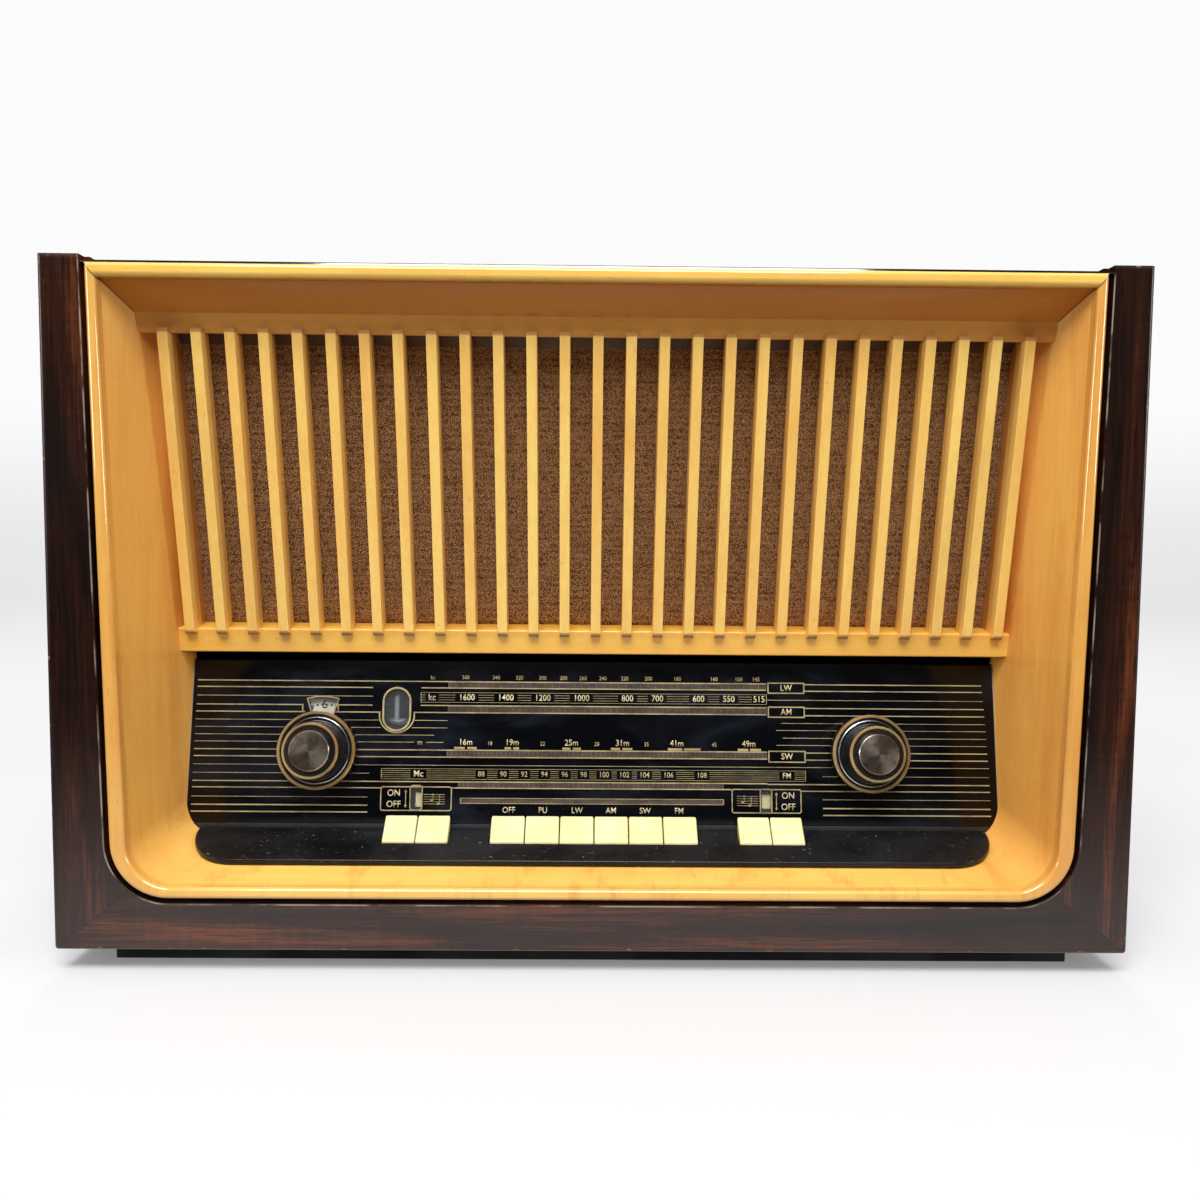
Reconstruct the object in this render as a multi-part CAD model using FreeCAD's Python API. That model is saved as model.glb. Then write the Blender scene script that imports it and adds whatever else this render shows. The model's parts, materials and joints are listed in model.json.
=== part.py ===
"""Large table-top valve radio in a dark walnut cabinet with a light maple slatted front.

Sizes are in millimetres.  The pieces are drawn in the cabinet frame: x to the right, y from the dark
front face towards the back, z up from the underside of the dark frame.  save() moves them to the part
frame, whose origin is the middle of the footprint, at the height of the surface the radio stands on.
"""
import FreeCAD, Part
import math
import os

V = FreeCAD.Vector

# ---- cabinet ----
CABINET_WIDTH = 640.0
CABINET_DEPTH = 285.0
FRAME_HEIGHT = 405.5
PLINTH_HEIGHT = 14.5
PLINTH_INSET = 23.0
PLINTH_END_INSET = 26.0
PLINTH_BATTEN = 26.0
SIDE_BOARD = 14.0
TOP_BOARD = 12.0
BOTTOM_BOARD = 10.0
FRAME_DEPTH = 18.0
FRAME_ROUND = 2.2
MITRE_SLOPE = 0.80
MITRE_RISE = 80.0
GROOVE_WIDTH = 3.0
GROOVE_DEPTH = 7.0
TOP_ROLL_DEPTH = 17.0
TOP_EDGE_DEPTH = 1.0
TOP_SHADOW_GAP = 0.2
BACK_REBATE = 5.0
BACK_INSET = 11.0
BACK_BOARD = 3.2
BACK_CLEARANCE = 0.4

# ---- light bezel: a funnel with a rounded nose ----
NOSE_PROUD = 2.0
NOSE_BACK = 6.0
NOSE_ROUND = 2.8
TOP_EDGE = 4.5
BOTTOM_RAIL = 31.5
STILE_WIDTH_TOP = 27.0
STILE_WIDTH_LOW = 34.0
HALF_WIDTH = CABINET_WIDTH / 2
BEZEL_TOP = FRAME_HEIGHT - TOP_EDGE
BEZEL_BOTTOM = BOTTOM_RAIL
BEZEL_HALF_TOP = HALF_WIDTH - STILE_WIDTH_TOP
BEZEL_HALF_LOW = HALF_WIDTH - STILE_WIDTH_LOW
BEZEL_CORNER = 34.0
NOSE_WIDTH_TOP = 8.0
NOSE_WIDTH_SIDE_TOP = 6.2
NOSE_WIDTH_SIDE_LOW = 9.5
NOSE_WIDTH_BOTTOM = 7.0
SILL_SLOPE = 0.265
CHEEK_WIDTH_TOP = 18.0
CHEEK_WIDTH_LOW = 21.8
DIAL_VISIBLE_HALF = BEZEL_HALF_LOW - CHEEK_WIDTH_LOW
LOW_TAPER = 8.5
BEZEL_LOWER_DEPTH = 78.0
BEZEL_STEP = 3.0
MITRE_STEP = 0.6
SILL_CUT_DEPTH = 37.0
SILL_CUT_SIDE = 71.0
SILL_CUT_HALF = BEZEL_HALF_LOW - SILL_CUT_SIDE
SILL_LAP = 8.0

# ---- dial, leaning back towards the top ----
DIAL_TILT = 10.9
DIAL_FOOT_DEPTH = 56.0
DIAL_FOOT_HEIGHT = 61.0
DIAL_LENGTH = 105.6
GLASS_THICKNESS = 3.0
GLASS_HOLE_R = 5.8
PLATE_OFFSET = 12.0
PLATE_THICKNESS = 1.2
PLATE_SIDE_GAP = 28.2
PLATE_HALF = DIAL_VISIBLE_HALF - PLATE_SIDE_GAP
PLATE_BOTTOM = 12.0
PLATE_TOP_GAP = 4.6
PLATE_TOP = DIAL_LENGTH - PLATE_TOP_GAP
BRACKET_LOW_GAP = 3.0
BRACKET_HIGH_GAP = 12.0
BRACKET_FOOT = 16.0
BRACKET_RISE = 14.0
RAIL_LIP = 3.0
POINTER_GAP = 1.3
POINTER_WIDTH = 1.2
POINTER_THICKNESS = 0.8
POINTER_SPLIT = 42.0
POINTER_SPLIT_GAP = 4.0
CARRIAGE_HALF = 6.0
CARRIAGE_HOOK = 3.0
CARRIAGE_LAP = 2.2
CARRIAGE_BRIDGE = 1.0
SLIDE_CLEARANCE = 0.35
LAMP_SIDE_GAP = 26.0
LAMP_SPACING = 2 * (PLATE_HALF - LAMP_SIDE_GAP)
LAMP_R = 4.5
LAMP_TOP_GAP = 11.0
LAMP_HEIGHT = PLATE_TOP - LAMP_TOP_GAP
LAMP_DOME = 3.0
LAMP_TIP = 1.0
LAMP_PROUD = 6.0
LAMP_FLANGE = 2.0
LAMP_FLANGE_THICKNESS = 1.5
LAMP_HOLDER_LENGTH = 11.0

# ---- grille, leaning back towards the bottom ----
GRILLE_TILT = 10.64
GRILLE_TOP_DEPTH = 24.0
SOFFIT_DROP = 23.0
GRILLE_DIAL_GAP = 6.72
GRILLE_TOP_HEIGHT = BEZEL_TOP - SOFFIT_DROP
GRILLE_HALF_TOP = BEZEL_HALF_TOP - CHEEK_WIDTH_TOP
DIAL_TOP_HEIGHT = DIAL_FOOT_HEIGHT + DIAL_LENGTH * math.cos(math.radians(DIAL_TILT))
GRILLE_RISE = GRILLE_TOP_HEIGHT - DIAL_TOP_HEIGHT - GRILLE_DIAL_GAP
GRILLE_LENGTH = GRILLE_RISE / math.cos(math.radians(GRILLE_TILT))
RAIL_THICKNESS = 12.0
TOP_RAIL_HEIGHT = 11.7
BOTTOM_RAIL_HEIGHT = 15.5
RAIL_UNDERCUT_DEPTH = 13.0
RAIL_UNDERCUT_DROP = 4.2
RAIL_ROUND = 1.0
SLAT_PITCH = 19.91
SLAT_WIDTH = 6.3
SLAT_END_GAP = 11.0
SLATS_EACH_SIDE = int((GRILLE_HALF_TOP - SLAT_END_GAP) / SLAT_PITCH)
SLAT_COUNT = 2 * SLATS_EACH_SIDE + 1
SLAT_PROUD = 4.6
SLAT_DEPTH = 12.6
SLAT_LAP = 3.2
SLAT_CHAMFER = 1.6
STRIP_SET_BACK = 8.0
CLOTH_THICKNESS = 0.8
BAFFLE_OFFSET = 16.0
BAFFLE_THICKNESS = 10.0
BAFFLE_SIDE_GAP = 36.0
BAFFLE_HALF = HALF_WIDTH - BAFFLE_SIDE_GAP
BAFFLE_ABOVE = 5.0
BAFFLE_SHORT = 4.0
CLOTH_SHORT = 2.0

# ---- loudspeakers ----
SPEAKER_SPACING = 270.0
SPEAKER_TOP_GAP = 24.0
SPEAKER_LOW_GAP = 26.2
SPEAKER_HOLE_R = (GRILLE_LENGTH - SPEAKER_TOP_GAP - SPEAKER_LOW_GAP) / 2
SPEAKER_DROP = SPEAKER_TOP_GAP + SPEAKER_HOLE_R
SPEAKER_FLANGE = 12.0
SPEAKER_FLANGE_R = SPEAKER_HOLE_R + SPEAKER_FLANGE
BASKET_LAP = 1.0
SPEAKER_DEPTH = 52.0
SPEAKER_SHEET = 1.5
CONE_CLEARANCE = 14.0
CONE_SHEET = 0.8
CONE_RIM_GAP = 0.3
CONE_RIM = 0.7
CONE_RIM_RISE = 0.6
CONE_INNER_RIM = 4.0
VOICE_COIL_R = 18.0
DUST_CAP_RISE = 6.0
MAGNET_R = 36.0
MAGNET_STEP = 6.0
MAGNET_DEPTH = 30.0

# ---- knobs ----
KNOB_SIDE_GAP = 85.8
KNOB_SPACING = 2 * (DIAL_VISIBLE_HALF - KNOB_SIDE_GAP)
KNOB_HEIGHT = 46.8
RING_R = 25.0
RING_BACK = 2.0
RING_FRONT = 14.0
SMALL_R = 17.75
SMALL_BACK = 15.0
SMALL_FRONT = 28.0
DISC_R = 12.7
DISC_FRONT = 30.0
SPINDLE_R = 3.0
SLEEVE_R = 5.0
RUNNING_CLEARANCE = 0.06
DRUM_R = 16.0
DRUM_WIDTH = 4.0
FM_DRUM_OFFSET = 18.0
AM_DRUM_OFFSET = 26.0
AERIAL_DISC_R = 35.5
AERIAL_DISC_OFFSET = 4.4

# ---- keys ----
KEY_PITCH = 22.15
PAIR_PITCH = 21.1
PAIR_CENTRE = 113.6
KEY_GAP = 0.7
KEY_GLASS_GAP = 1.0
KEY_LENGTH = 14.4
KEY_BACK_DEPTH = DIAL_FOOT_DEPTH - KEY_GLASS_GAP
KEY_FRONT_DEPTH = KEY_BACK_DEPTH - KEY_LENGTH
KEY_DROP = 10.8
KEY_FRONT_HEIGHT = 4.0
KEY_BACK_HEIGHT = 16.6
KEY_BOTTOM = DIAL_FOOT_HEIGHT - KEY_DROP
KEY_FRONT_TOP = KEY_BOTTOM + KEY_FRONT_HEIGHT
KEY_BACK_TOP = KEY_BOTTOM + KEY_BACK_HEIGHT
KEY_ROUND = 1.0
LEVER_WIDTH = 6.0
LEVER_RISE = 0.4
LEVER_HEIGHT = 5.4
LEVER_REACH = 60.0
PIVOT_RISE = 1.8
LEVER_BOTTOM = KEY_BOTTOM + LEVER_RISE
LEVER_TOP = LEVER_BOTTOM + LEVER_HEIGHT
PIVOT_DEPTH = KEY_BACK_DEPTH + LEVER_REACH
PIVOT_HEIGHT = KEY_BOTTOM + PIVOT_RISE
PIVOT_R = 2.0
PIVOT_BOSS_R = 4.6
LEDGE_APRON = 17.6
LEDGE_SIDE_GAP = 2.2
LEDGE_FRONT_DROP = 13.6
LEDGE_BACK_DROP = 2.4
LEDGE_GLASS_GAP = 0.3
LEDGE_FRONT_DEPTH = KEY_FRONT_DEPTH - LEDGE_APRON
LEDGE_HALF = DIAL_VISIBLE_HALF - LEDGE_SIDE_GAP
LEDGE_CORNER = 38.0
LEDGE_FRONT_TOP = DIAL_FOOT_HEIGHT - LEDGE_FRONT_DROP
LEDGE_BACK_TOP = DIAL_FOOT_HEIGHT - LEDGE_BACK_DROP
LEDGE_ROUND = 1.6
LEDGE_THICKNESS = 3.6
LEDGE_CLEARANCE = 0.8

# ---- indicator flags and magic eye ----
FLAG_CENTRE = 113.3
FLAG_WIDTH = 6.6
FLAG_HEIGHT = 9.0
FLAG_REST = 15.0
FLAG_TRAVEL = 6.0
FLAG_THICKNESS = 1.0
STEM_WIDTH = 3.0
EYE_KNOB_GAP = 48.8
EYE_X = EYE_KNOB_GAP - KNOB_SPACING / 2
EYE_HEIGHT = 74.3
EYE_R = 10.8
EYE_LENGTH = 58.0
EYE_FRONT = 5.0
EYE_CLEARANCE = 0.2
EYE_FLANGE = 2.0
EYE_FLANGE_DEPTH = 3.0

# ---- chassis ----
CARCASE_DEPTH = CABINET_DEPTH - NOSE_PROUD
BACK_FACE = CARCASE_DEPTH - BACK_INSET
CHASSIS_SIDE_GAP = 58.0
CHASSIS_KEY_GAP = 11.0
CHASSIS_BACK_GAP = 16.0
CHASSIS_HALF = HALF_WIDTH - CHASSIS_SIDE_GAP
CHASSIS_FRONT = PIVOT_DEPTH + CHASSIS_KEY_GAP
CHASSIS_BACK = BACK_FACE - CHASSIS_BACK_GAP
CHASSIS_TOP = 60.0
CHASSIS_SHEET = 1.5
BRACKET_SHEET = 2.0
FRAME_SHEET = 2.0
FRAME_LEG = 7.0
VALVE_R = 11.0
VALVE_HEIGHT = 56.0
VALVE_SOCKET = 1.5
VALVE_SOCKET_HEIGHT = 6.0
VALVE_SHOULDER = 5.0
VALVE_PIP = 4.0
FRONT_ROW = CHASSIS_FRONT + 40.0
MIDDLE_ROW = CHASSIS_BACK - 46.0
BACK_ROW = CHASSIS_BACK - 21.0
VALVE_SPOTS = ((-95.0, FRONT_ROW), (-45.0, MIDDLE_ROW), (10.0, FRONT_ROW),
               (60.0, MIDDLE_ROW), (105.0, FRONT_ROW), (140.0, MIDDLE_ROW))
CAN_SIDE = 26.0
CAN_HEIGHT = 58.0
CAN_ROUND = 3.0
CAN_SPOTS = ((-15.0, BACK_ROW), (30.0, BACK_ROW), (-75.0, BACK_ROW))
POWER_SIZE = (72.0, 58.0, 84.0)
POWER_END_GAP = 61.0
POWER_CENTRE = (POWER_END_GAP + POWER_SIZE[0] / 2 - CHASSIS_HALF, MIDDLE_ROW + 5.0)
OUTPUT_SIZE = (44.0, 36.0, 46.0)
OUTPUT_END_GAP = 2.0
OUTPUT_CENTRE = (CHASSIS_HALF - OUTPUT_END_GAP - OUTPUT_SIZE[0] / 2, CHASSIS_BACK - 31.0)
LAMINATION_SHARE = 0.62
WINDING_WIDTH_SHARE = 0.6
WINDING_HEIGHT_SHARE = 0.64
WINDING_ROUND = 4.0
CAPACITOR_END_GAP = 76.0
CAPACITOR_CENTRE = (CHASSIS_HALF - CAPACITOR_END_GAP, CHASSIS_FRONT + 24.0)
CAPACITOR_AXIS = 30.0
CAPACITOR_LENGTH = 34.0
CAPACITOR_SIDE = 5.0
CAPACITOR_CHEEK = 12.0
CAPACITOR_PLATE = 2.0
CAPACITOR_WHEEL_R = 13.0
CAPACITOR_WHEEL = 4.0
VANE_R = 23.0
VANE_THICKNESS = 1.0
VANE_PITCH = 6.0
VANE_FIRST = 5.0
VANE_BORE = 2.5
ROTOR_VANES = 4
AERIAL_END_GAP = 30.0
AERIAL_CENTRE = (AERIAL_END_GAP - CHASSIS_HALF, CHASSIS_FRONT + 49.0)
AERIAL_HEIGHT = 158.0
AERIAL_LENGTH = 124.0
AERIAL_ROD_R = 5.0
AERIAL_POST_R = 6.0
AERIAL_POST_GAP = 3.0
AERIAL_PIN_R = 3.0
AERIAL_HUB = 2.0
AERIAL_HUB_GAP = 0.3
AERIAL_COIL = 1.5
AERIAL_COIL_ENDS = (20.0, 46.0)

# ---- back ----
VENT_COLUMNS = 13
VENT_ROWS = 4
VENT_PITCH_X = 36.0
VENT_PITCH_Z = 34.0
VENT_WIDTH = 22.0
VENT_HEIGHT = 5.0
VENT_TOP_GAP = 76.1
SOCKET_COUNT = 6
SOCKET_PITCH = 19.0
SOCKET_R = 2.1
SOCKET_PLATE = (132.0, 7.2, 24.0)
SOCKET_ROUND = 1.5
SOCKET_CENTRE = (-40.0, 38.0)
SOCKET_WINDOW = 4.0
GROMMET_CENTRE = (CHASSIS_HALF - 47.0, 34.0)
GROMMET_R = 8.0
GROMMET_BORE_R = 3.6
GROMMET_LIP = 2.0
SCREW_R = 1.6
SCREW_HEAD_R = 2.6
SCREW_HEAD = 1.8
SCREW_LENGTH = 11.0
SCREW_TIP = 2.0
SCREW_BEVEL = 0.6
SCREW_SLOT = 1.0
SCREW_SLOT_DEPTH = 0.8
SCREW_EDGE = 2.2
SCREW_FROM_BOTTOM = 54.6
SCREW_FROM_TOP = 58.1
SCREW_TOP_SPACING = 360.0

GRILLE_LEAN = math.tan(math.radians(GRILLE_TILT))


# ---- helpers ----
def box(x0, x1, y0, y1, z0, z1):
    return Part.makeBox(x1 - x0, y1 - y0, z1 - z0, V(x0, y0, z0))


def face_of(points):
    return Part.Face(Part.makePolygon([V(*p) for p in points + points[:1]]))


def prism_x(outline, x0, x1):
    """Outline of (y, z) points, pushed along x."""
    return face_of([(x0, y, z) for y, z in outline]).extrude(V(x1 - x0, 0, 0))


def prism_y(outline, y0, y1):
    """Outline of (x, z) points, pushed along y."""
    return face_of([(x, y0, z) for x, z in outline]).extrude(V(0, y1 - y0, 0))


def rod(radius, start, end):
    along = V(*end) - V(*start)
    return Part.makeCylinder(radius, along.Length, V(*start), along)


def turned(profile, x, z):
    """Solid of revolution about a line along y: the profile holds (radius, y) points."""
    face = face_of([(r, y, 0) for r, y in profile])
    solid = face.revolve(V(0, 0, 0), V(0, 1, 0), 360)
    solid.translate(V(x, 0, z))
    return solid


def rounded(shape, radius, wanted):
    """Fillets the edges whose middle point passes the test."""
    edges = [e for e in shape.Edges if wanted(e.CenterOfMass)]
    return shape.makeFillet(radius, edges)


def near(value, target, slack=0.05):
    return abs(value - target) < slack


def together(shapes):
    joined = shapes[0]
    for shape in shapes[1:]:
        joined = joined.fuse(shape)
    return joined.removeSplitter()


def loose(shapes):
    return Part.Compound(shapes)


def mirrored(shape):
    return shape.mirror(V(0, 0, 0), V(1, 0, 0))


def on_grille(shape):
    """From the grille's own frame (y behind the rails' face, z along the slats) to the cabinet."""
    placed = shape.copy()
    placed.rotate(V(0, 0, 0), V(1, 0, 0), GRILLE_TILT)
    placed.translate(V(0, GRILLE_TOP_DEPTH, GRILLE_TOP_HEIGHT))
    return placed


def on_dial(shape):
    """From the dial's own frame (y behind the glass's face, z up the glass) to the cabinet."""
    placed = shape.copy()
    placed.rotate(V(0, 0, 0), V(1, 0, 0), -DIAL_TILT)
    placed.translate(V(0, DIAL_FOOT_DEPTH, DIAL_FOOT_HEIGHT))
    return placed


def save(name, shape):
    placed = shape.copy()
    placed.translate(V(0, NOSE_PROUD - CABINET_DEPTH / 2, PLINTH_HEIGHT))
    placed.exportStep("parts/%s.step" % name)


def baffle_plane(z):
    """Depth of the baffle's front face at a height."""
    return GRILLE_TOP_DEPTH + BAFFLE_OFFSET / math.cos(math.radians(GRILLE_TILT)) \
        + (GRILLE_TOP_HEIGHT - z) * GRILLE_LEAN


# ---- the outlines of the bezel ----
def bezel_half(z):
    share = (z - BEZEL_BOTTOM - BEZEL_CORNER) / (BEZEL_TOP - BEZEL_BOTTOM - BEZEL_CORNER)
    return BEZEL_HALF_LOW + (BEZEL_HALF_TOP - BEZEL_HALF_LOW) * share


def corner_wire(corners, radius, depth_of):
    """Closed wire: left side down through the given points, round corner, bottom, and back up."""
    tops, low = corners[:-1], corners[-1]
    x, z = low
    start = (-x, z + radius)
    swing = radius * math.sqrt(0.5)
    middle = (-x + radius - swing, z + radius - swing)
    end = (-x + radius, z)
    at = lambda p: V(p[0], depth_of(p[1]), p[1])
    flip = lambda p: (-p[0], p[1])
    left = [(-px, pz) for px, pz in tops] + [start]
    edges = [Part.LineSegment(at(a), at(b)).toShape() for a, b in zip(left, left[1:])]
    edges.append(Part.Arc(at(start), at(middle), at(end)).toShape())
    edges.append(Part.LineSegment(at(end), at(flip(end))).toShape())
    edges.append(Part.Arc(at(flip(end)), at(flip(middle)), at(flip(start))).toShape())
    right = [flip(p) for p in reversed(left)]
    edges += [Part.LineSegment(at(a), at(b)).toShape() for a, b in zip(right, right[1:])]
    edges.append(Part.LineSegment(at(right[-1]), at(left[0])).toShape())
    return Part.Wire(edges)


def outer_prism(offset, top, y0, y1):
    corners = [(bezel_half(top) + offset, top), (BEZEL_HALF_LOW + offset, BEZEL_BOTTOM - offset)]
    wire = corner_wire(corners, BEZEL_CORNER + offset, lambda z: y0)
    return Part.Face(wire).extrude(V(0, y1 - y0, 0))


def funnel():
    """The open space inside the bezel, from in front of the nose to the baffle."""
    knee = GRILLE_TOP_HEIGHT - GRILLE_LENGTH
    corner = BEZEL_CORNER - NOSE_WIDTH_BOTTOM - 1
    nose_top = BEZEL_TOP - NOSE_WIDTH_TOP
    nose_low = BEZEL_BOTTOM + NOSE_WIDTH_BOTTOM
    nose_knee_width = (NOSE_WIDTH_SIDE_TOP + NOSE_WIDTH_SIDE_LOW) / 2 + 0.65
    front = [(bezel_half(nose_top) - NOSE_WIDTH_SIDE_TOP, nose_top),
             (bezel_half(knee) - nose_knee_width, knee),
             (BEZEL_HALF_LOW - NOSE_WIDTH_SIDE_LOW, nose_low)]
    nose_wire = corner_wire(front, corner, lambda z: NOSE_BACK)
    # the soffit falls from the nose through the top edge of the grille rail
    soffit_slope = (nose_top - GRILLE_TOP_HEIGHT) / (GRILLE_TOP_DEPTH - NOSE_BACK)
    flare = (front[0][0] - GRILLE_HALF_TOP) / (GRILLE_TOP_DEPTH - NOSE_BACK)
    reach = baffle_plane(GRILLE_TOP_HEIGHT) - NOSE_BACK
    deep_top = nose_top - soffit_slope * (reach + 2.5)
    deep_half_top = front[0][0] - flare * reach
    low_reach = (baffle_plane(nose_low) - NOSE_BACK) / (1 + SILL_SLOPE * GRILLE_LEAN)
    deep_low = nose_low + SILL_SLOPE * low_reach
    deep = [(deep_half_top, deep_top), (DIAL_VISIBLE_HALF, knee), (DIAL_VISIBLE_HALF - LOW_TAPER, deep_low)]
    deep_wire = corner_wire(deep, corner, baffle_plane)
    body = Part.makeLoft([nose_wire, deep_wire], True, True)
    mouth_wire = corner_wire(front, corner, lambda z: NOSE_BACK - 20)
    mouth = Part.Face(mouth_wire).extrude(V(0, 20, 0))
    return mouth.fuse(body)


# ---- cabinet ----
def front_frame():
    """Dark frame as (left stile, right stile, bottom rail), mitred at the bottom corners."""
    whole = box(-HALF_WIDTH, HALF_WIDTH, 0, FRAME_DEPTH, 0, FRAME_HEIGHT)
    above = FRAME_HEIGHT + 10
    groove = outer_prism(GROOVE_WIDTH, above, -1, GROOVE_DEPTH)
    seat = outer_prism(0, above, -1, FRAME_DEPTH + 1)
    whole = whole.cut(groove).cut(seat)
    whole = rounded(whole, FRAME_ROUND, lambda c: near(c.y, 0) and near(abs(c.x), HALF_WIDTH))
    whole = rounded(whole, FRAME_ROUND, lambda c: near(c.y, 0) and near(c.z, 0, 0.8))
    rise = MITRE_RISE
    wedge = [(-HALF_WIDTH, 0), (-HALF_WIDTH, -5), (HALF_WIDTH, -5), (HALF_WIDTH, 0),
             (HALF_WIDTH - rise, rise * MITRE_SLOPE), (rise - HALF_WIDTH, rise * MITRE_SLOPE)]
    wedge = prism_y(wedge, -5, FRAME_DEPTH + 5)
    rail = whole.common(wedge)
    stiles = whole.cut(wedge)
    left = stiles.common(box(-HALF_WIDTH - 5, 0, -5, FRAME_DEPTH + 5, -5, FRAME_HEIGHT + 5))
    return left, mirrored(left), rail


def side_panel():
    """Right-hand side board; the left one is its mirror."""
    board = box(HALF_WIDTH - SIDE_BOARD, HALF_WIDTH, FRAME_DEPTH, CARCASE_DEPTH, 0, FRAME_HEIGHT)
    board = rounded(board, FRAME_ROUND, lambda c: near(c.x, HALF_WIDTH) and near(c.y, CARCASE_DEPTH))
    inner = HALF_WIDTH - SIDE_BOARD
    rebate = box(inner - 1, inner + BACK_REBATE, BACK_FACE, CARCASE_DEPTH + 1,
                 BOTTOM_BOARD - BACK_REBATE, FRAME_HEIGHT - TOP_BOARD + BACK_REBATE)
    return board.cut(rebate)


def top_panel():
    under = FRAME_HEIGHT - TOP_BOARD
    lip = BEZEL_TOP + TOP_SHADOW_GAP
    inner = HALF_WIDTH - SIDE_BOARD
    front_half = bezel_half(BEZEL_TOP) + GROOVE_WIDTH
    board = box(-inner, inner, FRAME_DEPTH, CARCASE_DEPTH, under, FRAME_HEIGHT)
    # the front edge rolls down as an arc that meets the top tangentially
    run = TOP_ROLL_DEPTH - TOP_EDGE_DEPTH
    drop = FRAME_HEIGHT - lip
    radius = (run ** 2 + drop ** 2) / (2 * drop)
    half_turn = math.asin(run / radius) / 2
    middle = V(0, TOP_ROLL_DEPTH - radius * math.sin(half_turn),
               FRAME_HEIGHT - radius * (1 - math.cos(half_turn)))
    roll = Part.Arc(V(0, TOP_EDGE_DEPTH, lip), middle, V(0, TOP_ROLL_DEPTH, FRAME_HEIGHT)).toShape()
    rest = Part.makePolygon([V(0, TOP_ROLL_DEPTH, FRAME_HEIGHT), V(0, FRAME_DEPTH, FRAME_HEIGHT),
                             V(0, FRAME_DEPTH, lip), V(0, TOP_EDGE_DEPTH, lip)])
    section = Part.Face(Part.Wire([roll] + rest.Edges))
    section.translate(V(-front_half, 0, 0))
    apron = section.extrude(V(2 * front_half, 0, 0))
    for side in (-1, 1):
        ends = sorted((side * bezel_half(BEZEL_TOP), side * (front_half + 1)))
        apron = apron.cut(box(ends[0], ends[1], GROOVE_DEPTH, FRAME_DEPTH, lip - 1, FRAME_HEIGHT + 1))
    seat = outer_prism(0, BEZEL_TOP, -5, CARCASE_DEPTH)
    rebate = box(-inner - 1, inner + 1, BACK_FACE, CARCASE_DEPTH + 1, under - 1, under + BACK_REBATE)
    seat = seat.common(box(-inner, inner, -5, CARCASE_DEPTH, under - 20, BEZEL_TOP))
    return together([board, apron]).cut(seat).cut(rebate)


def bottom_panel():
    inner = HALF_WIDTH - SIDE_BOARD
    board = box(-inner, inner, FRAME_DEPTH, CARCASE_DEPTH, 0, BOTTOM_BOARD)
    step = BOTTOM_BOARD - BACK_REBATE
    rebate = box(-inner - 1, inner + 1, BACK_FACE, CARCASE_DEPTH + 1, step, BOTTOM_BOARD + 1)
    return board.cut(rebate)


def plinth_battens():
    half = HALF_WIDTH - PLINTH_END_INSET
    front = box(-half, half, PLINTH_INSET, PLINTH_INSET + PLINTH_BATTEN, -PLINTH_HEIGHT, 0)
    back_edge = CARCASE_DEPTH - PLINTH_INSET
    back = box(-half, half, back_edge - PLINTH_BATTEN, back_edge, -PLINTH_HEIGHT, 0)
    return loose([front, back])


# ---- bezel ----
def bezel(space):
    """Light bezel as (top, left cheek, right cheek, sill)."""
    deep = baffle_plane(0) + 60
    whole = outer_prism(0, BEZEL_TOP, -NOSE_PROUD, deep - 1)
    top_reach = baffle_plane(FRAME_HEIGHT)
    behind = prism_x([(top_reach, FRAME_HEIGHT), (baffle_plane(0), 0), (deep, 0), (deep, FRAME_HEIGHT)],
                     -HALF_WIDTH, HALF_WIDTH)
    low_top = GRILLE_TOP_HEIGHT - GRILLE_LENGTH - BEZEL_STEP
    whole = whole.cut(space).cut(behind)
    whole = whole.cut(box(-HALF_WIDTH, HALF_WIDTH, BEZEL_LOWER_DEPTH, deep, 0, low_top))
    whole = whole.cut(box(-SILL_CUT_HALF, SILL_CUT_HALF, SILL_CUT_DEPTH, deep, 0, low_top))
    whole = rounded(whole, NOSE_ROUND, lambda c: near(c.y, -NOSE_PROUD))
    # the mitre runs from the outer corner through the corner of the grille rail
    run = 60.0
    fall = run * (BEZEL_TOP - GRILLE_TOP_HEIGHT) / (BEZEL_HALF_TOP - GRILLE_HALF_TOP)
    outer = BEZEL_HALF_TOP + 1
    start = BEZEL_TOP - MITRE_STEP + fall / run
    wedge = [(-outer, start), (-outer, start + 9), (outer, start + 9), (outer, start),
             (outer - run, start - fall), (run - outer, start - fall)]
    wedge = prism_y(wedge, -9, deep)
    top = whole.common(wedge)
    rest = whole.cut(wedge)
    split = SILL_CUT_HALF + SILL_LAP
    sill = rest.common(box(-split, split, -9, deep, 0, FRAME_HEIGHT / 2))
    cheek = rest.common(box(-HALF_WIDTH, -split, -9, deep, 0, FRAME_HEIGHT))
    return top, cheek, mirrored(cheek), sill


# ---- grille ----
def grille_rails(space):
    wide = HALF_WIDTH
    top = box(-wide, wide, 0, RAIL_THICKNESS, -TOP_RAIL_HEIGHT, 6)
    top = rounded(top, RAIL_ROUND, lambda c: near(c.y, 0) and near(c.z, -TOP_RAIL_HEIGHT))
    low = -GRILLE_LENGTH
    high = low + BOTTOM_RAIL_HEIGHT
    cloth = BAFFLE_OFFSET - CLOTH_THICKNESS
    section = [(0, high), (0, low), (RAIL_UNDERCUT_DEPTH, low - RAIL_UNDERCUT_DROP),
               (cloth, low - RAIL_UNDERCUT_DROP + 1), (cloth, high)]
    bottom = prism_x(section, -wide, wide)
    bottom = rounded(bottom, RAIL_ROUND, lambda c: near(c.y, 0))
    return on_grille(top).common(space), on_grille(bottom).common(space)


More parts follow.
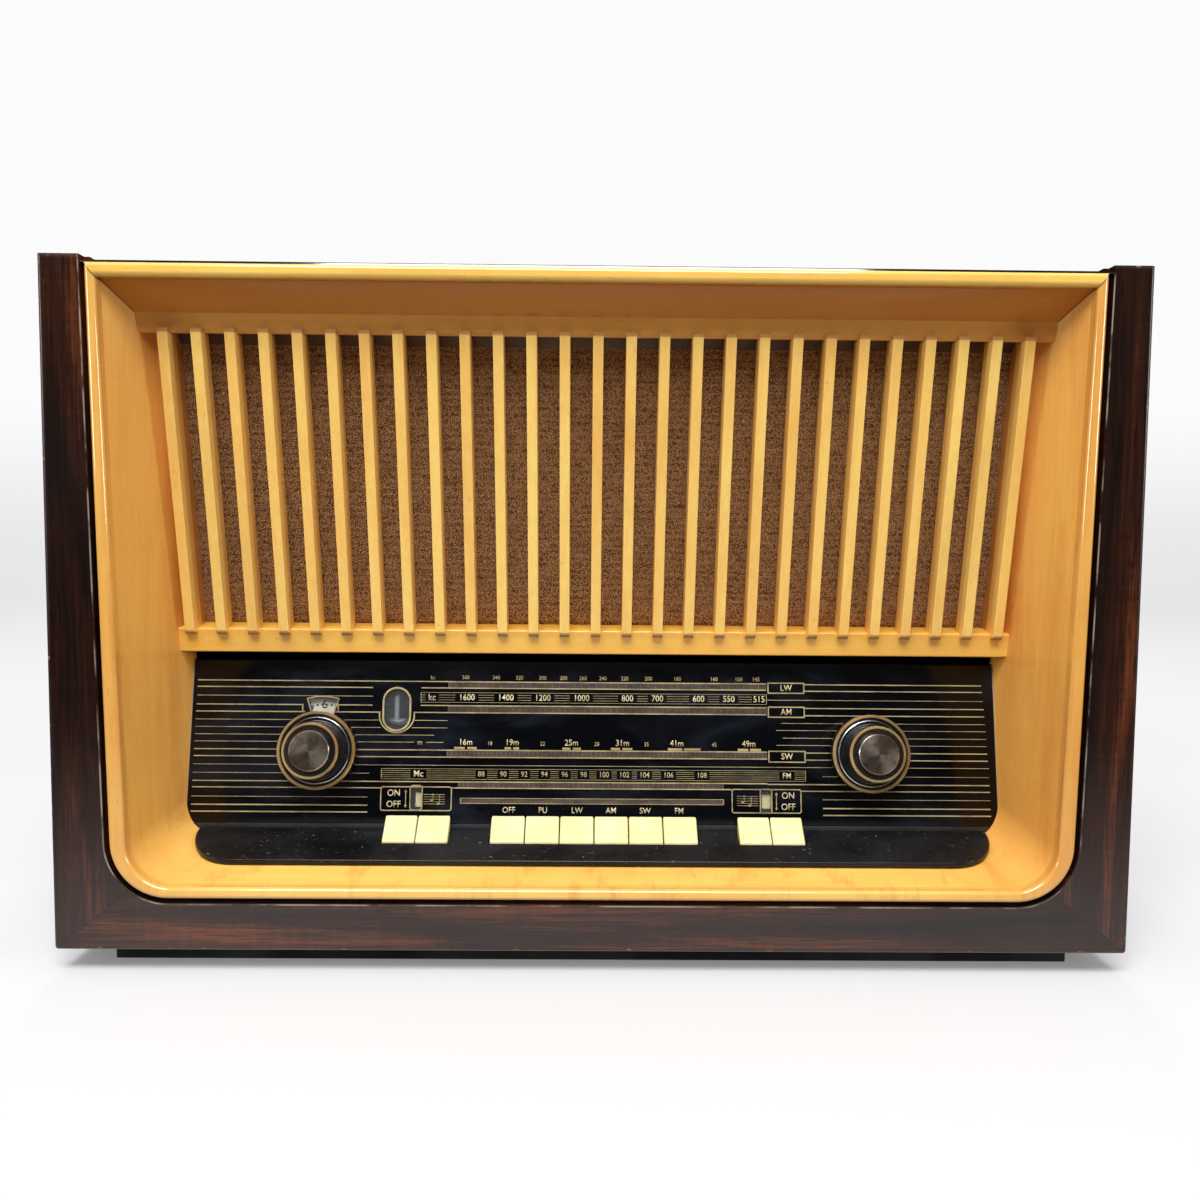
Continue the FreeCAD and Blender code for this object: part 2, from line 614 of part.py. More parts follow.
def grille_slats():
    top = -TOP_RAIL_HEIGHT
    low = -GRILLE_LENGTH + BOTTOM_RAIL_HEIGHT
    back = SLAT_DEPTH - SLAT_PROUD
    cut = SLAT_CHAMFER
    section = [(-SLAT_PROUD, low - SLAT_LAP + 2 * cut), (-SLAT_PROUD + cut, low - SLAT_LAP), (0, low - SLAT_LAP),
               (0, low), (back, low), (back, top), (0, top), (0, top + SLAT_LAP),
               (-SLAT_PROUD + cut, top + SLAT_LAP), (-SLAT_PROUD, top + SLAT_LAP - cut)]
    slat = prism_x(section, -SLAT_WIDTH / 2, SLAT_WIDTH / 2)
    slat = slat.makeFillet(0.6, [e for e in slat.Edges if near(e.CenterOfMass.y, -SLAT_PROUD)
                                 and near(abs(e.CenterOfMass.x), SLAT_WIDTH / 2)])
    slats = []
    for index in range(SLAT_COUNT):
        copy = slat.copy()
        copy.translate(V((index - (SLAT_COUNT - 1) / 2) * SLAT_PITCH, 0, 0))
        slats.append(on_grille(copy))
    return loose(slats)


def grille_strips(space):
    """Flat strips between the outermost slats and the cheeks."""
    outer = HALF_WIDTH
    edge = (SLAT_COUNT - 1) / 2 * SLAT_PITCH - SLAT_WIDTH / 2
    slot_floor = max(STRIP_SET_BACK, SLAT_DEPTH - SLAT_PROUD)
    low = -GRILLE_LENGTH + BOTTOM_RAIL_HEIGHT
    strip = box(edge, outer, slot_floor, BAFFLE_OFFSET - CLOTH_THICKNESS, low, -TOP_RAIL_HEIGHT)
    right = on_grille(strip).common(space)
    return mirrored(right), right


def speaker_cloth(space):
    low = CLOTH_SHORT - GRILLE_LENGTH
    sheet = box(-HALF_WIDTH, HALF_WIDTH, BAFFLE_OFFSET - CLOTH_THICKNESS, BAFFLE_OFFSET, low, 10)
    rails = box(-HALF_WIDTH, HALF_WIDTH, 0, BAFFLE_OFFSET - CLOTH_THICKNESS, low, 0)
    return on_grille(sheet).common(space).cut(on_grille(rails))


def baffle_board():
    low = BAFFLE_SHORT - GRILLE_LENGTH
    board = box(-BAFFLE_HALF, BAFFLE_HALF, BAFFLE_OFFSET, BAFFLE_OFFSET + BAFFLE_THICKNESS, low, BAFFLE_ABOVE)
    for side in (-1, 1):
        x = side * SPEAKER_SPACING / 2
        board = board.cut(rod(SPEAKER_HOLE_R, (x, 0, -SPEAKER_DROP), (x, 50, -SPEAKER_DROP)))
    return on_grille(board)


def speaker_frame(x):
    """Pressed steel basket with its magnet pot."""
    front = BAFFLE_OFFSET + BAFFLE_THICKNESS
    back = front + SPEAKER_DEPTH
    neck = MAGNET_R - MAGNET_STEP
    outer = SPEAKER_HOLE_R + BASKET_LAP
    profile = [(outer - SPEAKER_SHEET, front), (SPEAKER_FLANGE_R, front), (SPEAKER_FLANGE_R, front + SPEAKER_SHEET),
               (outer, front + SPEAKER_SHEET), (neck, back), (MAGNET_R, back), (MAGNET_R, back + MAGNET_DEPTH),
               (0, back + MAGNET_DEPTH), (0, back), (neck - 2 * SPEAKER_SHEET, back)]
    return on_grille(turned(profile, x, -SPEAKER_DROP))


def speaker_cone(x):
    """Paper cone with its dust cap, its rim on the baffle's back just inside the basket."""
    front = BAFFLE_OFFSET + BAFFLE_THICKNESS
    deep = front + SPEAKER_DEPTH - CONE_CLEARANCE
    rim = SPEAKER_HOLE_R + BASKET_LAP - SPEAKER_SHEET - CONE_RIM_GAP
    profile = [(rim, front), (rim - CONE_RIM, front + CONE_RIM_RISE), (VOICE_COIL_R, deep), (0, deep - DUST_CAP_RISE),
               (0, deep - DUST_CAP_RISE - CONE_SHEET), (VOICE_COIL_R - CONE_SHEET, deep - 2 * CONE_SHEET),
               (rim - CONE_INNER_RIM, front)]
    return on_grille(turned(profile, x, -SPEAKER_DROP))


# ---- dial ----
def dial_glass(space):
    glass = box(-HALF_WIDTH, HALF_WIDTH, 0, GLASS_THICKNESS, 0, DIAL_LENGTH)
    for side in (-1, 1):
        x = side * KNOB_SPACING / 2
        glass = glass.cut(rod(GLASS_HOLE_R, (x, -1, KNOB_HEIGHT), (x, 9, KNOB_HEIGHT)))
    return on_dial(glass).common(space)


def dial_plate():
    """Sheet-steel plate behind the glass, with pointer rails, bearing holes and two side brackets."""
    back = PLATE_OFFSET + PLATE_THICKNESS
    plate = box(-PLATE_HALF, PLATE_HALF, PLATE_OFFSET, back, PLATE_BOTTOM, PLATE_TOP)
    rail_half = FLAG_CENTRE + 8
    rail_top = box(-rail_half, rail_half, PLATE_OFFSET - RAIL_LIP, back, PLATE_TOP - PLATE_THICKNESS, PLATE_TOP)
    rail_low = box(-rail_half + 18, rail_half - 18, PLATE_OFFSET - RAIL_LIP, back, PLATE_BOTTOM,
                   PLATE_BOTTOM + PLATE_THICKNESS)
    plate = together([plate, rail_top, rail_low])
    bearing = SLEEVE_R + RUNNING_CLEARANCE
    for side in (-1, 1):
        x = side * KNOB_SPACING / 2
        plate = plate.cut(rod(bearing, (x, 0, KNOB_HEIGHT), (x, 40, KNOB_HEIGHT)))
        lamp_x = side * LAMP_SPACING / 2
        plate = plate.cut(rod(LAMP_R + RUNNING_CLEARANCE, (lamp_x, 0, LAMP_HEIGHT), (lamp_x, 40, LAMP_HEIGHT)))
        stem = STEM_WIDTH / 2 + SLIDE_CLEARANCE
        flag_x = side * FLAG_CENTRE
        top = FLAG_REST + FLAG_TRAVEL + stem
        plate = plate.cut(box(flag_x - stem, flag_x + stem, 0, 40, FLAG_REST - stem, top))
    eye_hole = EYE_R + EYE_CLEARANCE
    plate = plate.cut(rod(eye_hole, (EYE_X, 0, EYE_HEIGHT), (EYE_X, 40, EYE_HEIGHT)))
    plate = on_dial(plate)
    lean = math.tan(math.radians(DIAL_TILT))
    foot = DIAL_FOOT_DEPTH + back / math.cos(math.radians(DIAL_TILT))
    face = lambda z: foot + (z - DIAL_FOOT_HEIGHT) * lean
    low = DIAL_FOOT_HEIGHT + PLATE_BOTTOM + BRACKET_LOW_GAP
    high = DIAL_FOOT_HEIGHT + PLATE_TOP - BRACKET_HIGH_GAP
    weld = PLATE_THICKNESS / 3
    heel = CHASSIS_FRONT + BRACKET_FOOT
    gusset = [(face(low) - weld, low), (face(high) - weld, high), (heel, CHASSIS_TOP + BRACKET_RISE),
              (heel, CHASSIS_TOP), (CHASSIS_FRONT + BRACKET_SHEET, CHASSIS_TOP)]
    bracket = prism_x(gusset, PLATE_HALF - BRACKET_SHEET, PLATE_HALF)
    return together([plate, bracket, mirrored(bracket)])


def dial_lamps():
    """Pilot lamps pushed through the plate, each with a flange behind it."""
    lamps = []
    back = PLATE_OFFSET + PLATE_THICKNESS
    for side in (-1, 1):
        x = side * LAMP_SPACING / 2
        tip = PLATE_OFFSET - LAMP_PROUD
        flange = back + LAMP_FLANGE_THICKNESS
        end = back + LAMP_HOLDER_LENGTH
        profile = [(0, tip), (LAMP_R - LAMP_FLANGE, tip + LAMP_TIP), (LAMP_R, tip + LAMP_TIP + LAMP_DOME),
                   (LAMP_R, back), (LAMP_R + LAMP_FLANGE, back), (LAMP_R + LAMP_FLANGE, flange),
                   (LAMP_R, flange), (LAMP_R, end), (0, end)]
        lamps.append(on_dial(turned(profile, x, LAMP_HEIGHT)))
    return loose(lamps)


def am_pointer():
    """Thin blade on a carriage that hooks over the upper rail."""
    y0 = GLASS_THICKNESS + POINTER_GAP
    y1 = y0 + POINTER_THICKNESS
    lip = PLATE_OFFSET - RAIL_LIP
    over = PLATE_TOP + SLIDE_CLEARANCE
    half = CARRIAGE_HALF
    blade = box(-POINTER_WIDTH / 2, POINTER_WIDTH / 2, y0, y1, POINTER_SPLIT + POINTER_SPLIT_GAP / 2, over)
    bridge = box(-half, half, y0, lip + CARRIAGE_LAP, over, over + CARRIAGE_BRIDGE)
    nose = box(-half, half, y0, lip - SLIDE_CLEARANCE, PLATE_TOP - CARRIAGE_HOOK, over)
    return on_dial(together([blade, bridge, nose]))


def fm_pointer():
    y0 = GLASS_THICKNESS + POINTER_GAP
    y1 = y0 + POINTER_THICKNESS
    lip = PLATE_OFFSET - RAIL_LIP
    under = PLATE_BOTTOM - SLIDE_CLEARANCE
    half = CARRIAGE_HALF
    blade = box(-POINTER_WIDTH / 2, POINTER_WIDTH / 2, y0, y1, under, POINTER_SPLIT - POINTER_SPLIT_GAP / 2)
    bridge = box(-half, half, y0, lip + CARRIAGE_LAP, under - CARRIAGE_BRIDGE, under)
    nose = box(-half, half, y0, lip - SLIDE_CLEARANCE, under, PLATE_BOTTOM + CARRIAGE_HOOK)
    return on_dial(together([blade, bridge, nose]))


def register_flag(side):
    y0 = GLASS_THICKNESS + POINTER_GAP
    x = side * FLAG_CENTRE
    plate = box(x - FLAG_WIDTH / 2, x + FLAG_WIDTH / 2, y0, y0 + FLAG_THICKNESS,
                FLAG_REST - FLAG_HEIGHT / 2, FLAG_REST + FLAG_HEIGHT / 2)
    back = PLATE_OFFSET + PLATE_THICKNESS
    half = STEM_WIDTH / 2
    stem = box(x - half, x + half, y0, back + 3, FLAG_REST - half, FLAG_REST + half)
    return on_dial(together([plate, stem]))


def magic_eye_tube():
    end = EYE_FRONT + EYE_LENGTH
    back = PLATE_OFFSET + PLATE_THICKNESS
    flange = EYE_R + EYE_FLANGE
    profile = [(0, EYE_FRONT), (EYE_R - EYE_FLANGE, EYE_FRONT), (EYE_R, EYE_FRONT + EYE_FLANGE), (EYE_R, back),
               (flange, back), (flange, back + EYE_FLANGE_DEPTH), (EYE_R, back + EYE_FLANGE_DEPTH),
               (EYE_R, end), (0, end)]
    return on_dial(turned(profile, EYE_X, EYE_HEIGHT))


# ---- knobs: y is negative in front of the glass ----
def small_knob(side):
    bore_end = -SMALL_FRONT + 3
    profile = [(SPINDLE_R, -SMALL_BACK), (SMALL_R - 1.6, -SMALL_BACK), (SMALL_R - 0.9, -SMALL_BACK - 1),
               (SMALL_R, -SMALL_FRONT + 2.2), (SMALL_R, -SMALL_FRONT + 0.6), (SMALL_R - 0.6, -SMALL_FRONT),
               (SMALL_R - 1.7, -SMALL_FRONT), (DISC_R + 0.8, -SMALL_FRONT + 1.2), (DISC_R, -SMALL_FRONT + 1.0),
               (DISC_R, -DISC_FRONT + 0.3), (DISC_R - 0.5, -DISC_FRONT), (0, -DISC_FRONT - 0.5),
               (0, bore_end), (SPINDLE_R, bore_end)]
    return on_dial(turned(profile, side * KNOB_SPACING / 2, KNOB_HEIGHT))


def ring_knob(side):
    profile = [(SLEEVE_R, -RING_BACK), (RING_R - 1, -RING_BACK), (RING_R - 0.3, -RING_BACK - 1),
               (RING_R, -RING_FRONT + 2.4), (RING_R, -RING_FRONT + 0.7), (RING_R - 0.7, -RING_FRONT),
               (RING_R - 1.8, -RING_FRONT), (RING_R - 3.4, -RING_FRONT + 1.6), (SLEEVE_R, -RING_FRONT + 1.6)]
    return on_dial(turned(profile, side * KNOB_SPACING / 2, KNOB_HEIGHT))


def spindle(side, end, drum_offset=None):
    profile = [(0, -SMALL_FRONT + 3), (SPINDLE_R, -SMALL_FRONT + 3)]
    if drum_offset is not None:
        profile += drum_steps(SPINDLE_R, drum_offset)
    profile += [(SPINDLE_R, end), (0, end)]
    return on_dial(turned(profile, side * KNOB_SPACING / 2, KNOB_HEIGHT))


def drum_steps(radius, offset):
    """Grooved cord drum on a shaft of the given radius."""
    mid = offset + DRUM_WIDTH / 2
    rim = DRUM_R + 1.2
    return [(radius, offset), (rim, offset), (DRUM_R, mid - 0.6), (DRUM_R, mid + 0.6),
            (rim, offset + DRUM_WIDTH), (radius, offset + DRUM_WIDTH)]


def sleeve(side, drum_offset=None, disc_offset=None):
    bore = SPINDLE_R + RUNNING_CLEARANCE
    front = -RING_FRONT + 1.6
    end = FM_DRUM_OFFSET + DRUM_WIDTH + 2
    profile = [(bore, front), (SLEEVE_R, front)]
    if disc_offset is not None:
        profile += [(SLEEVE_R, disc_offset), (AERIAL_DISC_R, disc_offset), (AERIAL_DISC_R, disc_offset + 1),
                    (SLEEVE_R, disc_offset + 1)]
    if drum_offset is not None:
        profile += drum_steps(SLEEVE_R, drum_offset)
    profile += [(SLEEVE_R, end), (bore, end)]
    return on_dial(turned(profile, side * KNOB_SPACING / 2, KNOB_HEIGHT))


# ---- keys ----
def ledge_top(y):
    share = (y - LEDGE_FRONT_DEPTH) / (DIAL_FOOT_DEPTH - LEDGE_FRONT_DEPTH)
    return LEDGE_FRONT_TOP + (LEDGE_BACK_TOP - LEDGE_FRONT_TOP) * share


def key_groups():
    """(left edge, pitch, count) of the pair, the row of six and the second pair."""
    row = 3 * KEY_PITCH
    pair_left = -PAIR_CENTRE - PAIR_PITCH
    pair_right = PAIR_CENTRE - PAIR_PITCH
    return [(pair_left, PAIR_PITCH, 2), (-row, KEY_PITCH, 6), (pair_right, PAIR_PITCH, 2)]


def key_ledge(space):
    """Black moulded shelf along the foot of the dial, notched for the keys."""
    front, back = LEDGE_FRONT_DEPTH, DIAL_FOOT_DEPTH - LEDGE_GLASS_GAP
    section = [(front, ledge_top(front) - LEDGE_THICKNESS), (front, ledge_top(front)), (back, ledge_top(back)),
               (back, ledge_top(back) - LEDGE_THICKNESS)]
    slab = prism_x(section, -LEDGE_HALF, LEDGE_HALF)
    deep = back - front
    a = V(-LEDGE_HALF, back, 0)
    b = V(-LEDGE_HALF + LEDGE_CORNER * (1 - math.sqrt(0.5)), front + deep * (1 - math.sqrt(0.5)), 0)
    c = V(-LEDGE_HALF + LEDGE_CORNER, front, 0)
    flip = lambda p: V(-p.x, p.y, p.z)
    outline = Part.Wire([Part.Arc(a, b, c).toShape(), Part.LineSegment(c, flip(c)).toShape(),
                         Part.Arc(flip(c), flip(b), flip(a)).toShape(), Part.LineSegment(flip(a), a).toShape()])
    plan = Part.Face(outline).extrude(V(0, 0, 120))
    slab = slab.common(plan)
    slab = slab.makeFillet(LEDGE_ROUND, [e for e in slab.Edges if e.CenterOfMass.y < back - 2 and
                                 e.CenterOfMass.z > ledge_top(e.CenterOfMass.y) - 1.2
                                 and e.CenterOfMass.y < front + 14])
    for left, pitch, count in key_groups():
        slab = slab.cut(box(left - LEDGE_CLEARANCE, left + pitch * count + LEDGE_CLEARANCE,
                            KEY_FRONT_DEPTH - LEDGE_CLEARANCE, back + 5, 20, 90))
    return slab.common(space)


def key(left, pitch):
    """Ivory piano-style key with its lever and pivot boss."""
    x0 = left + KEY_GAP / 2
    x1 = left + pitch - KEY_GAP / 2
    middle = (x0 + x1) / 2
    section = [(KEY_FRONT_DEPTH, KEY_BOTTOM), (KEY_FRONT_DEPTH, KEY_FRONT_TOP), (KEY_BACK_DEPTH, KEY_BACK_TOP),
               (KEY_BACK_DEPTH, KEY_BOTTOM)]
    cap = prism_x(section, x0, x1)
    cap = cap.makeFillet(KEY_ROUND, [e for e in cap.Edges if e.CenterOfMass.z > KEY_BOTTOM + 1])
    half = LEVER_WIDTH / 2
    arm = box(middle - half, middle + half, KEY_BACK_DEPTH - 2, PIVOT_DEPTH, LEVER_BOTTOM, LEVER_TOP)
    boss = rod(PIVOT_BOSS_R, (middle - LEVER_WIDTH / 2, PIVOT_DEPTH, PIVOT_HEIGHT),
               (middle + LEVER_WIDTH / 2, PIVOT_DEPTH, PIVOT_HEIGHT))
    lever = together([cap, arm, boss])
    hole = PIVOT_R + RUNNING_CLEARANCE
    return lever.cut(rod(hole, (x0 - 1, PIVOT_DEPTH, PIVOT_HEIGHT), (x1 + 1, PIVOT_DEPTH, PIVOT_HEIGHT)))


def key_frame():
    """Pivot rod for all the keys, held by upright plates in front of the chassis."""
    half = PAIR_CENTRE + PAIR_PITCH + 8
    gap = (3 * KEY_PITCH + PAIR_CENTRE - PAIR_PITCH) / 2
    end = half - FRAME_SHEET / 2
    spots = (-end, -gap, 0.0, gap, end)
    front = PIVOT_DEPTH - FRAME_LEG
    thin = FRAME_SHEET / 2
    plates = [box(x - thin, x + thin, front, CHASSIS_FRONT, BOTTOM_BOARD, CHASSIS_TOP) for x in spots]
    pivot = rod(PIVOT_R, (-half, PIVOT_DEPTH, PIVOT_HEIGHT), (half, PIVOT_DEPTH, PIVOT_HEIGHT))
    foot = box(-half, half, front, CHASSIS_FRONT, BOTTOM_BOARD, BOTTOM_BOARD + FRAME_SHEET)
    return together(plates + [pivot, foot])


# ---- chassis and what stands on it ----
def chassis_pan():
    half = CHASSIS_HALF
    s = CHASSIS_SHEET
    pan = box(-half, half, CHASSIS_FRONT, CHASSIS_BACK, BOTTOM_BOARD, CHASSIS_TOP)
    pan = pan.cut(box(s - half, half - s, CHASSIS_FRONT + s, CHASSIS_BACK - s, 0, CHASSIS_TOP - s))
    x, y = AERIAL_CENTRE
    post_top = AERIAL_HEIGHT - AERIAL_ROD_R - AERIAL_POST_GAP
    post = rod(AERIAL_POST_R, (x, y, CHASSIS_TOP - s), (x, y, post_top))
    pin = rod(AERIAL_PIN_R, (x, y, CHASSIS_TOP), (x, y, AERIAL_HEIGHT + AERIAL_ROD_R + 2 * AERIAL_HUB))
    return together([pan, post, pin])


def transformer(centre, size):
    """Lamination stack with the winding through its middle."""
    x, y = centre
    wide, deep, tall = size
    core = deep * LAMINATION_SHARE
    stack = box(x - wide / 2, x + wide / 2, y - core / 2, y + core / 2, CHASSIS_TOP, CHASSIS_TOP + tall)
    half = wide * WINDING_WIDTH_SHARE / 2
    middle = CHASSIS_TOP + tall / 2
    rise = tall * WINDING_HEIGHT_SHARE / 2
    winding = box(x - half, x + half, y - deep / 2, y + deep / 2, middle - rise, middle + rise)
    corner = lambda c: near(abs(c.x - x), half) and near(abs(c.y - y), deep / 2)
    winding = rounded(winding, WINDING_ROUND, corner)
    return together([stack, winding])


def valves():
    made = []
    for x, y in VALVE_SPOTS:
        base = CHASSIS_TOP
        top = base + VALVE_HEIGHT
        seat = base + VALVE_SOCKET_HEIGHT
        profile = [(0, base), (VALVE_R + VALVE_SOCKET, base), (VALVE_R + VALVE_SOCKET, seat), (VALVE_R, seat),
                   (VALVE_R, top - VALVE_SHOULDER), (VALVE_R - VALVE_SHOULDER, top - VALVE_SOCKET),
                   (0.4 * VALVE_PIP, top), (0.2 * VALVE_PIP, top + VALVE_PIP), (0, top + VALVE_PIP)]
        face = face_of([(r, 0, z) for r, z in profile])
        tube = face.revolve(V(0, 0, 0), V(0, 0, 1), 360)
        tube.translate(V(x, y, 0))
        made.append(tube)
    return loose(made)


def screening_cans():
    cans = []
    half = CAN_SIDE / 2
    for x, y in CAN_SPOTS:
        can = box(x - half, x + half, y - half, y + half, CHASSIS_TOP, CHASSIS_TOP + CAN_HEIGHT)
        can = rounded(can, CAN_ROUND, lambda c: near(c.z, CHASSIS_TOP + CAN_HEIGHT / 2))
        cans.append(can)
    return loose(cans)


def half_disc(y, thickness, below):
    x, _ = CAPACITOR_CENTRE
    z = CHASSIS_TOP + CAPACITOR_AXIS
    disc = rod(VANE_R, (x, y, z), (x, y + thickness, z))
    side = -1 if below else 1
    cutter = box(x - 60, x + 60, y - 1, y + thickness + 1, z - 60 if side > 0 else z, z if side > 0 else z + 60)
    return disc.cut(cutter)


def capacitor_frame():
    x, front = CAPACITOR_CENTRE
    back = front + CAPACITOR_LENGTH
    z = CHASSIS_TOP + CAPACITOR_AXIS
    wide = VANE_R + CAPACITOR_SIDE
    plate = CAPACITOR_PLATE
    high = z + CAPACITOR_CHEEK
    ends = [box(x - wide, x + wide, y, y + plate, CHASSIS_TOP, high) for y in (front, back - plate)]
    base = box(x - wide, x + wide, front, back, CHASSIS_TOP, CHASSIS_TOP + plate)
    frame = together(ends + [base])
    frame = frame.cut(rod(SPINDLE_R + RUNNING_CLEARANCE, (x, front - 5, z), (x, back + 5, z)))
    bars = [box(x + s * (wide - 3) - 1.5, x + s * (wide - 3) + 1.5, front, back, z - 8, z - 4) for s in (-1, 1)]
    vanes = []
    for index in range(ROTOR_VANES - 1):
        y = front + VANE_FIRST + VANE_PITCH / 2 + index * VANE_PITCH
        vane = half_disc(y, VANE_THICKNESS, True)
        tie = box(x - wide + 2, x + wide - 2, y, y + VANE_THICKNESS, z - 8, z - 4)
        vane = together([vane, tie]).cut(rod(SPINDLE_R + VANE_BORE, (x, y - 1, z), (x, y + 5, z)))
        vanes.append(vane)
    return together([frame] + bars + vanes)


def capacitor_rotor():
    x, front = CAPACITOR_CENTRE
    z = CHASSIS_TOP + CAPACITOR_AXIS
    tip = front - 3 * CAPACITOR_WHEEL
    shaft = rod(SPINDLE_R, (x, tip, z), (x, front + CAPACITOR_LENGTH + CAPACITOR_PLATE, z))
    wheel = rod(CAPACITOR_WHEEL_R, (x, tip + 2, z), (x, tip + 2 + CAPACITOR_WHEEL, z))
    first = front + VANE_FIRST
    vanes = [half_disc(first + index * VANE_PITCH, VANE_THICKNESS, False) for index in range(ROTOR_VANES)]
    return together([shaft, wheel] + vanes)


def ferrite_aerial():
    """Ferrite rod in a hub that turns on the post's pin."""
    x, y = AERIAL_CENTRE
    z = AERIAL_HEIGHT
    bar = rod(AERIAL_ROD_R, (x - AERIAL_LENGTH / 2, y, z), (x + AERIAL_LENGTH / 2, y, z))
    low = z - AERIAL_ROD_R - AERIAL_POST_GAP + AERIAL_HUB_GAP
    hub = rod(AERIAL_POST_R + AERIAL_HUB, (x, y, low), (x, y, z + AERIAL_ROD_R + AERIAL_HUB))
    coil = rod(AERIAL_ROD_R + AERIAL_COIL, (x - AERIAL_COIL_ENDS[1], y, z), (x - AERIAL_COIL_ENDS[0], y, z))
    hole = rod(AERIAL_PIN_R + RUNNING_CLEARANCE, (x, y, z - 40), (x, y, z + 40))
    return together([bar, hub, coil]).cut(hole)


# ---- back ----
def back_half_sizes():
    half = HALF_WIDTH - SIDE_BOARD + BACK_REBATE - BACK_CLEARANCE
    low = BOTTOM_BOARD - BACK_REBATE + BACK_CLEARANCE
    high = FRAME_HEIGHT - TOP_BOARD + BACK_REBATE - BACK_CLEARANCE
    return half, low, high


def screw_spots():
    half, low, high = back_half_sizes()
    x = half - SCREW_EDGE
    lower, upper, across = low + SCREW_FROM_BOTTOM, high - SCREW_FROM_TOP, SCREW_TOP_SPACING / 2
    top = high - SCREW_EDGE
    return [(-x, lower), (x, lower), (-x, upper), (x, upper), (-across, top), (across, top)]


def back_panel():
    half, low, high = back_half_sizes()
    y0, y1 = BACK_FACE, BACK_FACE + BACK_BOARD
    panel = box(-half, half, y0, y1, low, high)
    cutters = []
    first = high - VENT_TOP_GAP - VENT_HEIGHT - (VENT_ROWS - 1) * VENT_PITCH_Z
    for row in range(VENT_ROWS):
        for column in range(VENT_COLUMNS):
            x = (column - (VENT_COLUMNS - 1) / 2) * VENT_PITCH_X
            z = first + row * VENT_PITCH_Z
            cutters.append(box(x - VENT_WIDTH / 2, x + VENT_WIDTH / 2, y0 - 1, y1 + 1, z, z + VENT_HEIGHT))
    for x, z in screw_spots():
        cutters.append(rod(SCREW_R + 0.2, (x, y0 - 1, z), (x, y1 + 1, z)))
    x, z = GROMMET_CENTRE
    cutters.append(rod(GROMMET_R, (x, y0 - 1, z), (x, y1 + 1, z)))
    x, z = SOCKET_CENTRE
    wide, _, tall = SOCKET_PLATE
    m = SOCKET_WINDOW
    wide = wide / 2 - m
    tall = tall / 2 - m
    cutters.append(box(x - wide, x + wide, y0 - 1, y1 + 1, z - tall, z + tall))
    return panel.cut(cutters)


def back_screws():
    made = []
    head_base = BACK_FACE + BACK_BOARD
    for x, z in screw_spots():
        tip = head_base - SCREW_LENGTH
        head = head_base + SCREW_HEAD
        profile = [(0, tip), (SCREW_R, tip + SCREW_TIP), (SCREW_R, head_base),
                   (SCREW_HEAD_R, head_base), (SCREW_HEAD_R - SCREW_BEVEL, head), (0, head)]
        screw = turned(profile, x, z)
        thin = SCREW_SLOT / 2
        wide = SCREW_HEAD_R
        slot = box(x - wide, x + wide, head - SCREW_SLOT_DEPTH, head + 1, z - thin, z + thin)
        made.append(screw.cut(slot))
    return loose(made)


def screw_holes(shape):
    for x, z in screw_spots():
        shape = shape.cut(rod(SCREW_R, (x, BACK_FACE - SCREW_LENGTH, z), (x, BACK_FACE + 1, z)))
    return shape


def socket_holes():
    x, z = SOCKET_CENTRE
    return [(x + (i - (SOCKET_COUNT - 1) / 2) * SOCKET_PITCH, z) for i in range(SOCKET_COUNT)]


def rear_sockets():
    """Moulded strip with plug sockets, on the outside of the back over the window in it."""
    x, z = SOCKET_CENTRE
    wide, thick, tall = SOCKET_PLATE
    y0 = BACK_FACE + BACK_BOARD
    y1 = y0 + thick
    strip = box(x - wide / 2, x + wide / 2, y0, y1, z - tall / 2, z + tall / 2)
    strip = rounded(strip, SOCKET_ROUND, lambda c: near(c.y, y1))
    for sx, sz in socket_holes():
        strip = strip.cut(rod(SOCKET_R, (sx, y0 - 1, sz), (sx, y1 + 1, sz)))
    return strip


def mains_grommet():
    x, z = GROMMET_CENTRE
    y0, y1 = BACK_FACE, BACK_FACE + BACK_BOARD
    lip = GROMMET_LIP
    profile = [(GROMMET_BORE_R, y1 + lip), (GROMMET_R + lip, y1 + lip), (GROMMET_R + lip, y1), (GROMMET_R, y1),
               (GROMMET_R, y0), (GROMMET_R + lip, y0), (GROMMET_R + lip, y0 - lip), (GROMMET_BORE_R, y0 - lip)]
    return turned(profile, x, z)


SELECTOR_KEYS = ("off_key", "gram_key", "long_wave_key", "medium_wave_key", "short_wave_key", "fm_key")
PAIR_KEYS = (("solo_key", "bass_key"), ("bright_key", "soft_key"))


